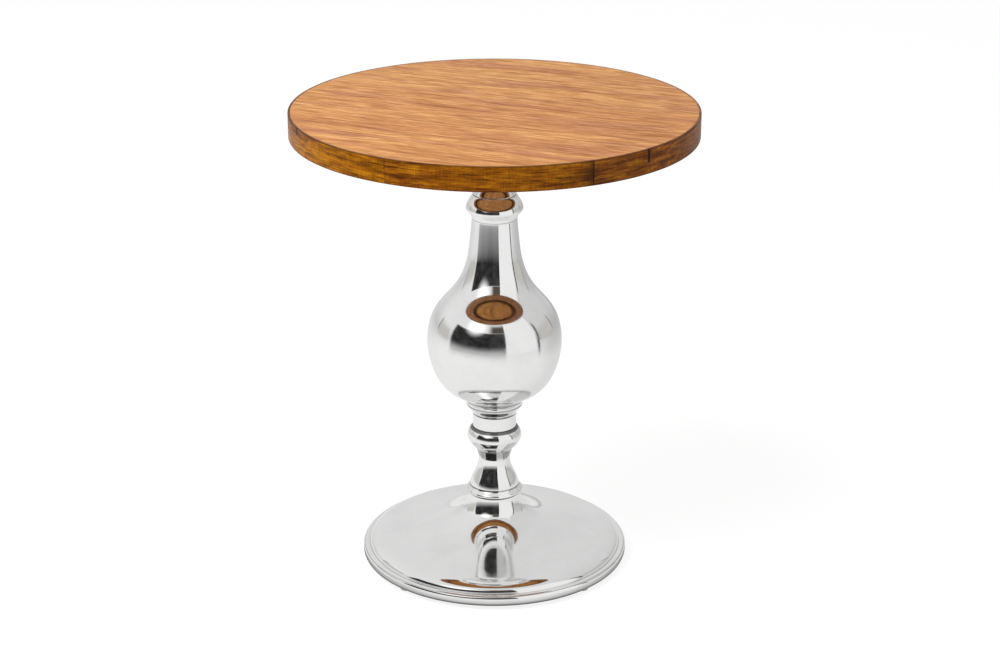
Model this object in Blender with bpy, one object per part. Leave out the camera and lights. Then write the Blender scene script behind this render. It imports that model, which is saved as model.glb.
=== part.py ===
"""Round pedestal side table: an edge-banded board top on a stack of turned, polished castings.

The table stands on the floor plane Z = 0 with its axis on Z, and lengths are in metres.
A steel tie rod, screwed into the top flange, clamps flange, bulb, stem and base dish together.
Its nut sits up inside the hollow foot of the dish, and wood screws hold the flange to the boards.
"""

import math
from dataclasses import dataclass

import bmesh
import bpy

# Fits: clear space between seated pieces, round the rod, and past the end of a screw
SEAT_GAP = 0.0003
ROD_CLEARANCE = 0.0010
PILOT_EXTRA = 0.0010

# Height from the floor to the face of the top
OVERALL_HEIGHT = 0.5930

# Wooden top, its boards sized as shares of its radius
TOP_RADIUS = 0.2500
BOARD_THICKNESS = 0.0180
BOARD_COUNT = 6
BOARD_SHARE = 0.31
CENTRE_JOINT_SHARE = 0.03
GRAIN_ANGLE = math.radians(-21.8)
BAND_THICKNESS = 0.0030
BAND_JOINT_ANGLES = (-119.8, -63.5, -4.0, 56.0, 118.0, 180.0)
RIM_WIDTH = 0.0390
RIM_DEPTH = 0.0112
RIM_SEGMENTS = 6
RIM_JOINT_ANGLE = 25.0

# Top flange
PLATE_RADIUS = 0.0800
PLATE_THICKNESS = 0.0080
PLATE_EDGE = 0.0012
FLARE_RADIUS = 0.0440
TUBE_RADIUS = 0.0268
TUBE_BORE = 0.0160
ROD_BOSS_DEPTH = 0.0320
ROD_TOP_COVER = 0.0080

# Bulb casting, heights from the spigot's end upwards
SPIGOT_RADIUS = 0.0273
SPIGOT_TAPER = 0.0006
SPIGOT_LENGTH = 0.0292
SPIGOT_BORE = 0.0200
COVE_HEIGHT = 0.0123
BULB_SEAT_RADIUS = 0.0356
BULB_STEP_HEIGHT = 0.0027
SWELL_RADIUS = 0.0546
SWELL_HEIGHT = 0.0168
BULB_RADIUS = 0.0847
NECK_FOOT_RADIUS = 0.0340
NECK_RADIUS = 0.0283
NECK_BORE = 0.0220
COLLAR_RADIUS = 0.0356
COLLAR_LOWER_HEIGHT = 0.0145
COLLAR_UPPER_HEIGHT = 0.0175
COLLAR_TOP_RADIUS = 0.0274
BULB_WALL = 0.0055

# Stem casting, heights from its seat on the foot upwards
RING_RADIUS = 0.0362
RING_EDGE = 0.0014
RING_WALL = 0.0018
RING_HEIGHT = 0.0102
CONE_FOOT_RADIUS = 0.0312
WAIST_RADIUS = 0.0198
THROAT_RADIUS = 0.0237
THROAT_HEIGHT = 0.0125
BEAD_STEP_RADIUS = 0.0290
BEAD_STEP_HEIGHT = 0.0060
BEAD_RADIUS = 0.0345
BEAD_LOWER_HEIGHT = 0.0115
BEAD_UPPER_HEIGHT = 0.0130
BEAD_LIP = 0.0008
SOCKET_DEPTH = 0.0120

# Registers that centre one casting in the next
REGISTER_DEPTH = 0.0060
FOOT_REGISTER_RADIUS = 0.0240

# Base dish, heights from the rim's underside upwards
BASE_RADIUS = 0.1695
RIM_WALL_HEIGHT = 0.0140
RIM_ROUND_TOP = 0.0045
RIM_ROUND_LOW = 0.0050
RIM_ROLL_WIDTH = 0.0085
RIM_GROOVE = 0.0010
RIM_LAND = 0.0190
HOLLOW_LIP = 0.0155
OVOLO_WIDTH = 0.0219
OVOLO_HEIGHT = 0.0126
DOME_RISE = 0.0343
DISH_WALL = 0.0060
KNEE_RADIUS = 0.0416
FOOT_RADIUS = 0.0327
FOOT_EDGE = 0.0010
FOOT_WALL = 0.0060
WEB_THICKNESS = 0.0100

# Fasteners
ROD_RADIUS = 0.0060
ROD_TAIL = 0.0040
NUT_ACROSS_FLATS = 0.0190
NUT_HEIGHT = 0.0100
WASHER_RADIUS = 0.0180
WASHER_THICKNESS = 0.0025
SCREW_COUNT = 6
SCREW_CIRCLE_SHARE = 0.80
SCREW_RADIUS = 0.0022
SCREW_LENGTH = 0.0200
SCREW_POINT = 0.0050
SCREW_HEAD_RADIUS = 0.0045
SCREW_HEAD_HEIGHT = 0.0030

# Pads under the rim
PAD_COUNT = 4
PAD_RADIUS = 0.0065
PAD_THICKNESS = 0.0040

# Long plain lengths, in parts of the height that the mouldings leave between them
FOOT_PARTS = 230
CONE_PARTS = 365
BULB_LOWER_PARTS = 647
SHOULDER_PARTS = 1120
NECK_PARTS = 500
TUBE_PARTS = 362
FLARE_PARTS = 450

# Facets round each kind of turned piece
DISH_SIDES = 56
CASTING_SIDES = 36
FASTENER_SIDES = 12
PAD_SIDES = 16

# Most that a flat facet cuts into a flat-extruded arc
ARC_SAG = 0.0002

# Handles of a quarter of an ellipse, as shares of its run and rise
FLAT_FIRST = ((0.5523, 0.0), (1.0, 0.4477))
UPRIGHT_FIRST = ((0.0, 0.5523), (0.4477, 1.0))

# Sizes that follow from those above
BOARD_WIDTH = BOARD_SHARE * TOP_RADIUS
CENTRE_JOINT_OFFSET = CENTRE_JOINT_SHARE * TOP_RADIUS
SCREW_CIRCLE = SCREW_CIRCLE_SHARE * PLATE_RADIUS
BASE_MOULDINGS = PAD_THICKNESS + RIM_WALL_HEIGHT - RIM_GROOVE + OVOLO_HEIGHT + DOME_RISE
STEM_MOULDINGS = RING_HEIGHT + THROAT_HEIGHT + BEAD_STEP_HEIGHT + BEAD_LOWER_HEIGHT + BEAD_UPPER_HEIGHT
SPIGOT_SHOWN = SPIGOT_LENGTH - SOCKET_DEPTH
BULB_MOULDINGS = SPIGOT_SHOWN + COVE_HEIGHT + BULB_STEP_HEIGHT + SWELL_HEIGHT
COLLAR_HEIGHT = COLLAR_LOWER_HEIGHT + COLLAR_UPPER_HEIGHT
TOP_HEIGHT = PLATE_THICKNESS + BOARD_THICKNESS
STACK_GAPS = 5 * SEAT_GAP
MOULDED_HEIGHT = BASE_MOULDINGS + STEM_MOULDINGS + BULB_MOULDINGS + COLLAR_HEIGHT + TOP_HEIGHT + STACK_GAPS
STEM_PARTS = FOOT_PARTS + CONE_PARTS
BULB_PARTS = BULB_LOWER_PARTS + SHOULDER_PARTS + NECK_PARTS
FLANGE_PARTS = TUBE_PARTS + FLARE_PARTS
PART = (OVERALL_HEIGHT - MOULDED_HEIGHT) / (STEM_PARTS + BULB_PARTS + FLANGE_PARTS)

# Levels of the stack, from the floor to the face of the top
RIM_BOTTOM_Z = PAD_THICKNESS + SEAT_GAP
ROLL_TOP_Z = RIM_BOTTOM_Z + RIM_WALL_HEIGHT
DISH_EDGE_Z = ROLL_TOP_Z - RIM_GROOVE + OVOLO_HEIGHT
KNEE_Z = DISH_EDGE_Z + DOME_RISE
FOOT_TOP_Z = KNEE_Z + FOOT_PARTS * PART
FOOT_SOCKET_Z = FOOT_TOP_Z - REGISTER_DEPTH
WEB_BOTTOM_Z = FOOT_SOCKET_Z - WEB_THICKNESS
STEM_Z = FOOT_TOP_Z + SEAT_GAP
CONE_Z = STEM_Z + RING_HEIGHT
WAIST_Z = CONE_Z + CONE_PARTS * PART
THROAT_Z = WAIST_Z + THROAT_HEIGHT
BEAD_STEP_Z = THROAT_Z + BEAD_STEP_HEIGHT
BEAD_Z = BEAD_STEP_Z + BEAD_LOWER_HEIGHT
STEM_TOP_Z = BEAD_Z + BEAD_UPPER_HEIGHT
SOCKET_Z = STEM_TOP_Z - SOCKET_DEPTH
SPIGOT_Z = SOCKET_Z + SEAT_GAP
COVE_Z = SPIGOT_Z + SPIGOT_LENGTH
BULB_STEP_Z = COVE_Z + COVE_HEIGHT
SWELL_Z = BULB_STEP_Z + BULB_STEP_HEIGHT
BELLY_LOW_Z = SWELL_Z + SWELL_HEIGHT
BELLY_Z = BELLY_LOW_Z + BULB_LOWER_PARTS * PART
NECK_FOOT_Z = BELLY_Z + SHOULDER_PARTS * PART
NECK_Z = NECK_FOOT_Z + NECK_PARTS * PART
COLLAR_Z = NECK_Z + COLLAR_LOWER_HEIGHT
COLLAR_TOP_Z = COLLAR_Z + COLLAR_UPPER_HEIGHT
TUBE_Z = COLLAR_TOP_Z + SEAT_GAP
FLARE_Z = TUBE_Z + TUBE_PARTS * PART
PLATE_Z = FLARE_Z + FLARE_PARTS * PART
PLATE_TOP_Z = PLATE_Z + PLATE_THICKNESS
BOARD_Z = PLATE_TOP_Z + SEAT_GAP
TOP_Z = BOARD_Z + BOARD_THICKNESS
RIM_Z = BOARD_Z - SEAT_GAP - RIM_DEPTH


@dataclass(frozen=True)
class Finish:
    """Colour, roughness and metallic value of one kind of surface."""

    name: str
    color: tuple
    roughness: float
    metallic: float


BOARD_WOOD = Finish("board_wood", (0.62, 0.33, 0.14), 0.38, 0.0)
BAND_WOOD = Finish("band_wood", (0.36, 0.17, 0.045), 0.42, 0.0)
RIM_WOOD = Finish("rim_wood", (0.44, 0.23, 0.09), 0.60, 0.0)
POLISHED_ALUMINIUM = Finish("polished_aluminium", (0.91, 0.91, 0.90), 0.06, 1.0)
ZINC_STEEL = Finish("zinc_steel", (0.62, 0.62, 0.60), 0.35, 1.0)
PALE_FELT = Finish("pale_felt", (0.70, 0.69, 0.66), 0.95, 0.0)


def clear_scene():
    """Remove every object that the file opened with."""
    for old in list(bpy.data.objects):
        bpy.data.objects.remove(old, do_unlink=True)


def add_piece(name, sketch, finish):
    """Turn a bmesh into a named object with its own material.

    Args:
        name: object name of the sub-part.
        sketch: finished bmesh, freed here.
        finish: surface values for the material.
    """
    bmesh.ops.recalc_face_normals(sketch, faces=sketch.faces)
    mesh = bpy.data.meshes.new(name)
    sketch.to_mesh(mesh)
    sketch.free()
    material = bpy.data.materials.new(f"{name}_{finish.name}")
    material.use_nodes = True
    shader = material.node_tree.nodes["Principled BSDF"]
    shader.inputs["Base Color"].default_value = (*finish.color, 1.0)
    shader.inputs["Roughness"].default_value = finish.roughness
    shader.inputs["Metallic"].default_value = finish.metallic
    mesh.materials.append(material)
    mesh.shade_smooth()
    mesh.set_sharp_from_angle(angle=math.radians(30.0))
    piece = bpy.data.objects.new(name, mesh)
    bpy.context.scene.collection.objects.link(piece)
    return piece


def curve(start, end, handles, steps):
    """Points of a cubic from start to end, without its start.

    Args:
        start, end: (radius, height) pairs.
        handles: two control points, as shares of the run in radius and in height.
        steps: how many points to return.
    """
    run = end[0] - start[0]
    rise = end[1] - start[1]
    inner = [(start[0] + share_r * run, start[1] + share_z * rise) for share_r, share_z in handles]
    corners = (start, *inner, end)
    points = []
    for step in range(1, steps + 1):
        t = step / steps
        weights = ((1 - t) ** 3, 3 * t * (1 - t) ** 2, 3 * t * t * (1 - t), t ** 3)
        radius = sum(weight * corner[0] for weight, corner in zip(weights, corners))
        height = sum(weight * corner[1] for weight, corner in zip(weights, corners))
        points.append((radius, height))
    return points


def turned(name, outline, finish, sides):
    """Spin an outline of (radius, height) pairs about Z, closed unless it starts and ends on the axis."""
    sketch = bmesh.new()
    verts = [sketch.verts.new((radius, 0.0, height)) for radius, height in outline]
    edges = [sketch.edges.new(pair) for pair in zip(verts, verts[1:])]
    if outline[0][0] > 0.0:
        edges.append(sketch.edges.new((verts[-1], verts[0])))
    bmesh.ops.spin(sketch, geom=verts + edges, cent=(0, 0, 0), axis=(0, 0, 1),
                   angle=math.tau, steps=sides, use_merge=True)
    bmesh.ops.remove_doubles(sketch, verts=sketch.verts, dist=1e-6)
    return add_piece(name, sketch, finish)


def prism(name, outline, bottom, height, finish):
    """Extrude a flat outline of (x, y) pairs upwards."""
    sketch = bmesh.new()
    face = sketch.faces.new([sketch.verts.new((x, y, bottom)) for x, y in outline])
    grown = bmesh.ops.extrude_face_region(sketch, geom=[face])
    raised = [item for item in grown["geom"] if isinstance(item, bmesh.types.BMVert)]
    bmesh.ops.translate(sketch, verts=raised, vec=(0, 0, height))
    return add_piece(name, sketch, finish)


def arc(radius, start, end):
    """Points of an arc about the origin, both ends included, true to the circle within ARC_SAG."""
    widest = 2 * math.acos(1 - ARC_SAG / radius)
    steps = max(1, math.ceil(abs(end - start) / widest))
    angles = [start + (end - start) * step / steps for step in range(steps + 1)]
    return [(radius * math.cos(angle), radius * math.sin(angle)) for angle in angles]


def ring_block(name, inner, outer, start, end, bottom, height, finish):
    """A block of a flat ring between two angles, with the seat gap shared by its two ends."""
    mean = (inner + outer) / 2
    trim = SEAT_GAP / 2 / mean
    outline = arc(outer, start + trim, end - trim) + arc(inner, end - trim, start + trim)
    return prism(name, outline, bottom, height, finish)


def cut(piece, cutter):
    """Subtract a hidden cutter from a piece."""
    cutter.hide_render = True
    cutter.display_type = "WIRE"
    boolean = piece.modifiers.new("Cut", "BOOLEAN")
    boolean.operation = "DIFFERENCE"
    boolean.object = cutter


def dish_outline():
    """Dish from the foot's top, down its outside, along the underside and up its bore."""
    roll_start = BASE_RADIUS - RIM_ROLL_WIDTH
    dish_edge = roll_start - OVOLO_WIDTH
    crown = (BASE_RADIUS - RIM_ROUND_TOP, ROLL_TOP_Z)
    wall_top = (BASE_RADIUS, ROLL_TOP_Z - RIM_ROUND_TOP)
    wall_low = (BASE_RADIUS, RIM_BOTTOM_Z + RIM_ROUND_LOW)
    land_outer = (BASE_RADIUS - RIM_ROUND_LOW, RIM_BOTTOM_Z)
    land_inner = (BASE_RADIUS - RIM_LAND, RIM_BOTTOM_Z)
    groove = (roll_start, ROLL_TOP_Z - RIM_GROOVE)
    wall_start = (FOOT_RADIUS, FOOT_TOP_Z - FOOT_EDGE)
    knee = (KNEE_RADIUS, KNEE_Z)
    dome_edge = (dish_edge, DISH_EDGE_Z)
    hollow_edge = (land_inner[0] - DISH_WALL / 2, RIM_BOTTOM_Z + HOLLOW_LIP)
    knee_wall = DISH_WALL * math.sqrt(0.5)
    hollow_knee = (KNEE_RADIUS - knee_wall, KNEE_Z - knee_wall)
    hollow_top = (FOOT_RADIUS - FOOT_WALL, WEB_BOTTOM_Z)
    bore = ROD_RADIUS + ROD_CLEARANCE
    socket = FOOT_REGISTER_RADIUS + SEAT_GAP
    outline = [(socket, FOOT_TOP_Z), (FOOT_RADIUS - FOOT_EDGE, FOOT_TOP_Z), wall_start]
    outline += curve(wall_start, knee, ((0.0, 0.133), (0.318, 0.733)), 4)
    outline += curve(knee, dome_edge, ((0.128, 0.353), (0.327, 0.695)), 7)
    outline += curve(dome_edge, groove, ((0.602, 0.167), (1.0, 0.436)), 4)
    outline += curve(groove, crown, ((0.2, 0.8), (0.6, 1.0)), 2)
    outline += curve(crown, wall_top, FLAT_FIRST, 3)
    outline += [wall_low]
    outline += curve(wall_low, land_outer, UPRIGHT_FIRST, 3)
    outline += [land_inner, hollow_edge]
    outline += curve(hollow_edge, hollow_knee, ((0.0, 0.15), (0.70, 0.19)), 4)
    outline += [hollow_top, (bore, WEB_BOTTOM_Z), (bore, FOOT_SOCKET_Z), (socket, FOOT_SOCKET_Z)]
    return outline


def stem_outline():
    """Stem from the lip of its socket, down its mouldings to the register, and up its bore."""
    socket = SPIGOT_RADIUS + SEAT_GAP
    bore = ROD_RADIUS + ROD_CLEARANCE
    lip = (socket + BEAD_LIP, STEM_TOP_Z)
    bead = (BEAD_RADIUS, BEAD_Z)
    step = (BEAD_STEP_RADIUS, BEAD_STEP_Z)
    throat = (THROAT_RADIUS, THROAT_Z)
    waist = (WAIST_RADIUS, WAIST_Z)
    cone_foot = (CONE_FOOT_RADIUS, CONE_Z)
    ring_low = (RING_RADIUS, STEM_Z + RING_EDGE)
    ring_high = (RING_RADIUS, ring_low[1] + RING_WALL)
    outline = [(socket, STEM_TOP_Z), lip]
    outline += curve(lip, bead, ((0.35, 0.22), (1.0, 0.44)), 5)
    outline += curve(bead, step, ((0.0, 0.26), (0.62, 0.78)), 3)
    outline += curve(step, throat, ((0.35, 0.35), (0.90, 0.75)), 2)
    outline += curve(throat, waist, ((0.28, 0.20), (1.0, 0.88)), 3)
    outline += curve(waist, cone_foot, ((0.0, 0.44), (0.85, 0.66)), 5)
    outline += curve(cone_foot, ring_high, ((0.10, 0.35), (0.90, 0.75)), 3)
    outline += [ring_low, (RING_RADIUS - RING_EDGE, STEM_Z)]
    outline += [(FOOT_REGISTER_RADIUS, STEM_Z), (FOOT_REGISTER_RADIUS, FOOT_SOCKET_Z + SEAT_GAP)]
    outline += [(bore, FOOT_SOCKET_Z + SEAT_GAP), (bore, SOCKET_Z), (socket, SOCKET_Z)]
    return outline


def bulb_outline():
    """Bulb from the collar's top, down the outside to the spigot's end, and up its hollow inside."""
    collar_top = (COLLAR_TOP_RADIUS, COLLAR_TOP_Z)
    collar = (COLLAR_RADIUS, COLLAR_Z)
    neck = (NECK_RADIUS, NECK_Z)
    neck_foot = (NECK_FOOT_RADIUS, NECK_FOOT_Z)
    belly = (BULB_RADIUS, BELLY_Z)
    belly_low = (SWELL_RADIUS, BELLY_LOW_Z)
    swell = (BULB_SEAT_RADIUS, SWELL_Z)
    seat = (BULB_SEAT_RADIUS, BULB_STEP_Z)
    cove = (SPIGOT_RADIUS + SPIGOT_TAPER, COVE_Z)
    inner_low = (SPIGOT_BORE, SWELL_Z)
    inner_belly = (BULB_RADIUS - BULB_WALL, BELLY_Z)
    inner_neck = (NECK_BORE, (NECK_FOOT_Z + NECK_Z) / 2)
    outline = [(NECK_BORE, COLLAR_TOP_Z), collar_top]
    outline += curve(collar_top, collar, ((0.02, 0.34), (1.0, 0.69)), 5)
    outline += curve(collar, neck, ((0.0, 0.28), (1.0, 0.45)), 5)
    outline += curve(neck, neck_foot, ((0.0, 0.06), (0.56, 0.78)), 3)
    outline += curve(neck_foot, belly, ((0.268, 0.545), (1.0, 0.44)), 10)
    outline += curve(belly, belly_low, ((0.0, 0.015), (0.05, 0.726)), 6)
    outline += curve(belly_low, swell, ((0.154, 0.10), (1.0, 0.67)), 3)
    outline += [seat]
    outline += curve(seat, cove, ((0.30, 0.28), (1.0, 0.70)), 3)
    outline += [(SPIGOT_RADIUS, SPIGOT_Z), (SPIGOT_BORE, SPIGOT_Z), inner_low]
    outline += curve(inner_low, inner_belly, ((0.54, 0.15), (1.0, 0.49)), 5)
    outline += curve(inner_belly, inner_neck, ((0.0, 0.44), (0.75, 0.33)), 6)
    return outline


def flange_outline():
    """Flange from the middle of its plate, out, down the flared tube, and up to the rod's blind hole."""
    under_plate = (FLARE_RADIUS, PLATE_Z)
    tube_top = (TUBE_RADIUS, FLARE_Z)
    register = NECK_BORE - SEAT_GAP
    register_z = TUBE_Z - REGISTER_DEPTH
    hole = ROD_RADIUS + SEAT_GAP
    hole_top = PLATE_TOP_Z - ROD_TOP_COVER
    boss_z = PLATE_TOP_Z - ROD_BOSS_DEPTH
    outline = [(0.0, PLATE_TOP_Z), (PLATE_RADIUS - PLATE_EDGE, PLATE_TOP_Z)]
    outline += [(PLATE_RADIUS, PLATE_TOP_Z - PLATE_EDGE), (PLATE_RADIUS, PLATE_Z + PLATE_EDGE)]
    outline += [(PLATE_RADIUS - PLATE_EDGE, PLATE_Z), under_plate]
    outline += curve(under_plate, tube_top, ((0.60, 0.0), (1.0, 0.45)), 5)
    outline += [(TUBE_RADIUS, TUBE_Z), (register, TUBE_Z), (register, register_z)]
    outline += [(TUBE_BORE, register_z), (TUBE_BORE, boss_z - (TUBE_BORE - hole)), (hole, boss_z)]
    outline += [(hole, hole_top), (0.0, hole_top)]
    return outline


def place_on_circle(piece, radius, angle):
    """Move a piece made on the axis to a place on a circle round it."""
    piece.location = (radius * math.cos(angle), radius * math.sin(angle), 0.0)


def screw_outline():
    """Pan-head wood screw under the flange plate, from its point down to its head."""
    point_z = PLATE_Z - SEAT_GAP + SCREW_LENGTH
    head_z = PLATE_Z - SEAT_GAP
    head = (SCREW_HEAD_RADIUS, head_z)
    outline = [(0.0, point_z), (SCREW_RADIUS, point_z - SCREW_POINT), (SCREW_RADIUS, head_z), head]
    outline += curve(head, (0.0, head_z - SCREW_HEAD_HEIGHT), UPRIGHT_FIRST, 3)
    return outline


def build_screws():
    """Wood screws in a circle, and one cutter for the holes that they need in plate and boards."""
    bottom = PLATE_Z - PLATE_THICKNESS
    top = PLATE_Z + SCREW_LENGTH + PILOT_EXTRA
    hole = SCREW_RADIUS + SEAT_GAP
    cutters = []
    for index in range(SCREW_COUNT):
        angle = GRAIN_ANGLE + math.tau * index / SCREW_COUNT
        screw = turned(f"flange_screw_{index + 1}", screw_outline(), ZINC_STEEL, FASTENER_SIDES)
        place_on_circle(screw, SCREW_CIRCLE, angle)
        hole_outline = [(0.0, top), (hole, top), (hole, bottom), (0.0, bottom)]
        cutter = turned(f"screw_hole_{index + 1}", hole_outline, ZINC_STEEL, FASTENER_SIDES)
        place_on_circle(cutter, SCREW_CIRCLE, angle)
        cutters.append(cutter)
    return cutters


def board_outline(low, high, radius):
    """A strip of the disc between two lines along the grain, as (x, y) pairs."""
    low_angle = math.asin(max(low, -radius) / radius)
    high_angle = math.asin(min(high, radius) / radius)
    right = arc(radius, low_angle, high_angle)
    left = arc(radius, math.pi - high_angle, math.pi - low_angle)
    if high >= radius:
        left = left[1:]
    if low <= -radius:
        left = left[:-1]
    return right + left


def build_boards(screw_cutters):
    """Boards glued edge to edge across the disc, with the screws' pilot holes."""
    radius = TOP_RADIUS - BAND_THICKNESS - SEAT_GAP
    first_joint = -CENTRE_JOINT_OFFSET - (BOARD_COUNT // 2 - 1) * BOARD_WIDTH
    joints = [first_joint + BOARD_WIDTH * index for index in range(BOARD_COUNT - 1)]
    lows = [-TOP_RADIUS] + [joint + SEAT_GAP / 2 for joint in joints]
    highs = [joint - SEAT_GAP / 2 for joint in joints] + [TOP_RADIUS]
    for index, (low, high) in enumerate(zip(lows, highs)):
        outline = board_outline(low, high, radius)
        board = prism(f"top_board_{index + 1}", outline, BOARD_Z, BOARD_THICKNESS, BOARD_WOOD)
        board.rotation_euler = (0.0, 0.0, GRAIN_ANGLE)
        for cutter in screw_cutters:
            reach = cutter.location.y * math.cos(GRAIN_ANGLE) - cutter.location.x * math.sin(GRAIN_ANGLE)
            if low - SCREW_HEAD_RADIUS < reach < high + SCREW_HEAD_RADIUS:
                cut(board, cutter)


def build_rim():
    """Rim segments that thicken the edge from below, and the band strips bent round it."""
    outer = TOP_RADIUS - BAND_THICKNESS - SEAT_GAP
    for index in range(RIM_SEGMENTS):
        start = math.radians(RIM_JOINT_ANGLE) + math.tau * index / RIM_SEGMENTS
        end = start + math.tau / RIM_SEGMENTS
        name = f"rim_segment_{index + 1}"
        ring_block(name, outer - RIM_WIDTH, outer, start, end, RIM_Z, RIM_DEPTH, RIM_WOOD)
    inner = TOP_RADIUS - BAND_THICKNESS
    joints = [math.radians(angle) for angle in BAND_JOINT_ANGLES]
    ends = joints[1:] + [joints[0] + math.tau]
    for index, (start, end) in enumerate(zip(joints, ends)):
        name = f"edge_band_{index + 1}"
        ring_block(name, inner, TOP_RADIUS, start, end, RIM_Z, TOP_Z - RIM_Z, BAND_WOOD)


def build_pedestal(screw_cutters):
    """The four turned castings, from the floor up."""
    turned("base_dish", dish_outline(), POLISHED_ALUMINIUM, DISH_SIDES)
    turned("lower_stem", stem_outline(), POLISHED_ALUMINIUM, CASTING_SIDES)
    turned("bulb_column", bulb_outline(), POLISHED_ALUMINIUM, CASTING_SIDES)
    flange = turned("top_flange", flange_outline(), POLISHED_ALUMINIUM, CASTING_SIDES)
    for cutter in screw_cutters:
        cut(flange, cutter)


def build_tie_rod():
    """The rod with the washer and nut that pull the castings together under the web of the foot."""
    washer_top = WEB_BOTTOM_Z - SEAT_GAP
    washer_low = washer_top - WASHER_THICKNESS
    nut_top = washer_low - SEAT_GAP
    nut_low = nut_top - NUT_HEIGHT
    rod_low = nut_low - ROD_TAIL
    rod_top = PLATE_TOP_Z - ROD_TOP_COVER - SEAT_GAP
    rod = [(0.0, rod_top), (ROD_RADIUS, rod_top), (ROD_RADIUS, rod_low), (0.0, rod_low)]
    turned("tie_rod", rod, ZINC_STEEL, FASTENER_SIDES)
    hole = ROD_RADIUS + SEAT_GAP
    washer = [(hole, washer_top), (WASHER_RADIUS, washer_top), (WASHER_RADIUS, washer_low), (hole, washer_low)]
    turned("rod_washer", washer, ZINC_STEEL, FASTENER_SIDES * 2)
    corner = NUT_ACROSS_FLATS / math.sqrt(3.0)
    hexagon = [(corner * math.cos(math.tau * k / 6), corner * math.sin(math.tau * k / 6)) for k in range(6)]
    nut = prism("rod_nut", hexagon, nut_low, NUT_HEIGHT, ZINC_STEEL)
    through = [(0.0, washer_top), (hole, washer_top), (hole, rod_low), (0.0, rod_low)]
    cut(nut, turned("nut_hole", through, ZINC_STEEL, FASTENER_SIDES))


def build_pads():
    """Round felt pads under the land of the rim."""
    circle = BASE_RADIUS - (RIM_ROUND_LOW + RIM_LAND) / 2
    outline = [(0.0, PAD_THICKNESS), (PAD_RADIUS, PAD_THICKNESS), (PAD_RADIUS, 0.0), (0.0, 0.0)]
    for index in range(PAD_COUNT):
        pad = turned(f"felt_pad_{index + 1}", outline, PALE_FELT, PAD_SIDES)
        place_on_circle(pad, circle, math.tau * (index + 0.5) / PAD_COUNT)


def main():
    clear_scene()
    screw_cutters = build_screws()
    build_boards(screw_cutters)
    build_rim()
    build_pedestal(screw_cutters)
    build_tie_rod()
    build_pads()


main()
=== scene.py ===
"""Looks of a round pedestal side table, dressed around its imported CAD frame.

The frame is in metres with +Z up, the table's axis on Z, and the viewer of the photograph towards -Y.
Each sub-assembly is a class that works out its meshes with numpy and dresses them with procedural finishes.
"""

import logging
import math
from dataclasses import dataclass
from enum import Enum
from functools import reduce
from typing import Sequence, Union

import bpy
import numpy as np
from mathutils import Matrix, Vector


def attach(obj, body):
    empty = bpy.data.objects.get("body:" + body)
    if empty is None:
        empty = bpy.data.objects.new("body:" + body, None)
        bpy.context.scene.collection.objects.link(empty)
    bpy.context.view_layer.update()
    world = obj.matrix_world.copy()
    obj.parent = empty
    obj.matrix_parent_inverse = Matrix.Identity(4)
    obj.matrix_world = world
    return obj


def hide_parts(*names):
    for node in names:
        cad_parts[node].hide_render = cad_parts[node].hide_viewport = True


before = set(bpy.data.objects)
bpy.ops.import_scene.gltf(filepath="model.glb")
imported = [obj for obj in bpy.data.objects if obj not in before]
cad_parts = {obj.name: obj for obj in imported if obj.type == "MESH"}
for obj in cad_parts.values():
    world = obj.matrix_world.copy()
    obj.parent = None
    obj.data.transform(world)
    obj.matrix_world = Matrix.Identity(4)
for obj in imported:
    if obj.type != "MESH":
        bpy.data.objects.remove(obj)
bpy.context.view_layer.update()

LOG = logging.getLogger("side_table")
BODY = "root"

Point = tuple[float, float]
Triple = tuple[float, float, float]
Colour = tuple[float, float, float]
Mesh = tuple[np.ndarray, list[np.ndarray]]
Socket = bpy.types.NodeSocket
Feed = Union[Socket, float, tuple]

# Handles of a quarter of an ellipse, as shares of its run and rise
FLAT_FIRST = ((0.5523, 0.0), (1.0, 0.4477))
UPRIGHT_FIRST = ((0.0, 0.5523), (0.4477, 1.0))

# Rounding of corners: the least turn in degrees, the points of a round, and the most of a leg that it takes
CORNER_TURN = 25.0
ROUND_POINTS = 5
LEG_SHARE = 0.45

# Levels of the top's underside and upper face, and the angle of its grain to X
TOP_LOW = 0.5635
TOP_HIGH = 0.5930
GRAIN = math.radians(-21.8)

# Lacquered wood: height of its relief, its refractive index, and the depth of figure that dulls it most
WOOD_RELIEF = 0.0004
LACQUER_IOR = 1.45
DULL_DEPTH = 0.7

BLACK = (0.0, 0.0, 0.0, 1.0)
WHITE = (1.0, 1.0, 1.0, 1.0)


class Slot(Enum):
    """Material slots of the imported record."""

    BOARD = "board_wood"
    BAND = "band_wood"
    RIM = "rim_wood"
    ALUMINIUM = "polished_aluminium"
    ZINC = "zinc_steel"
    FELT = "pale_felt"


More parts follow.
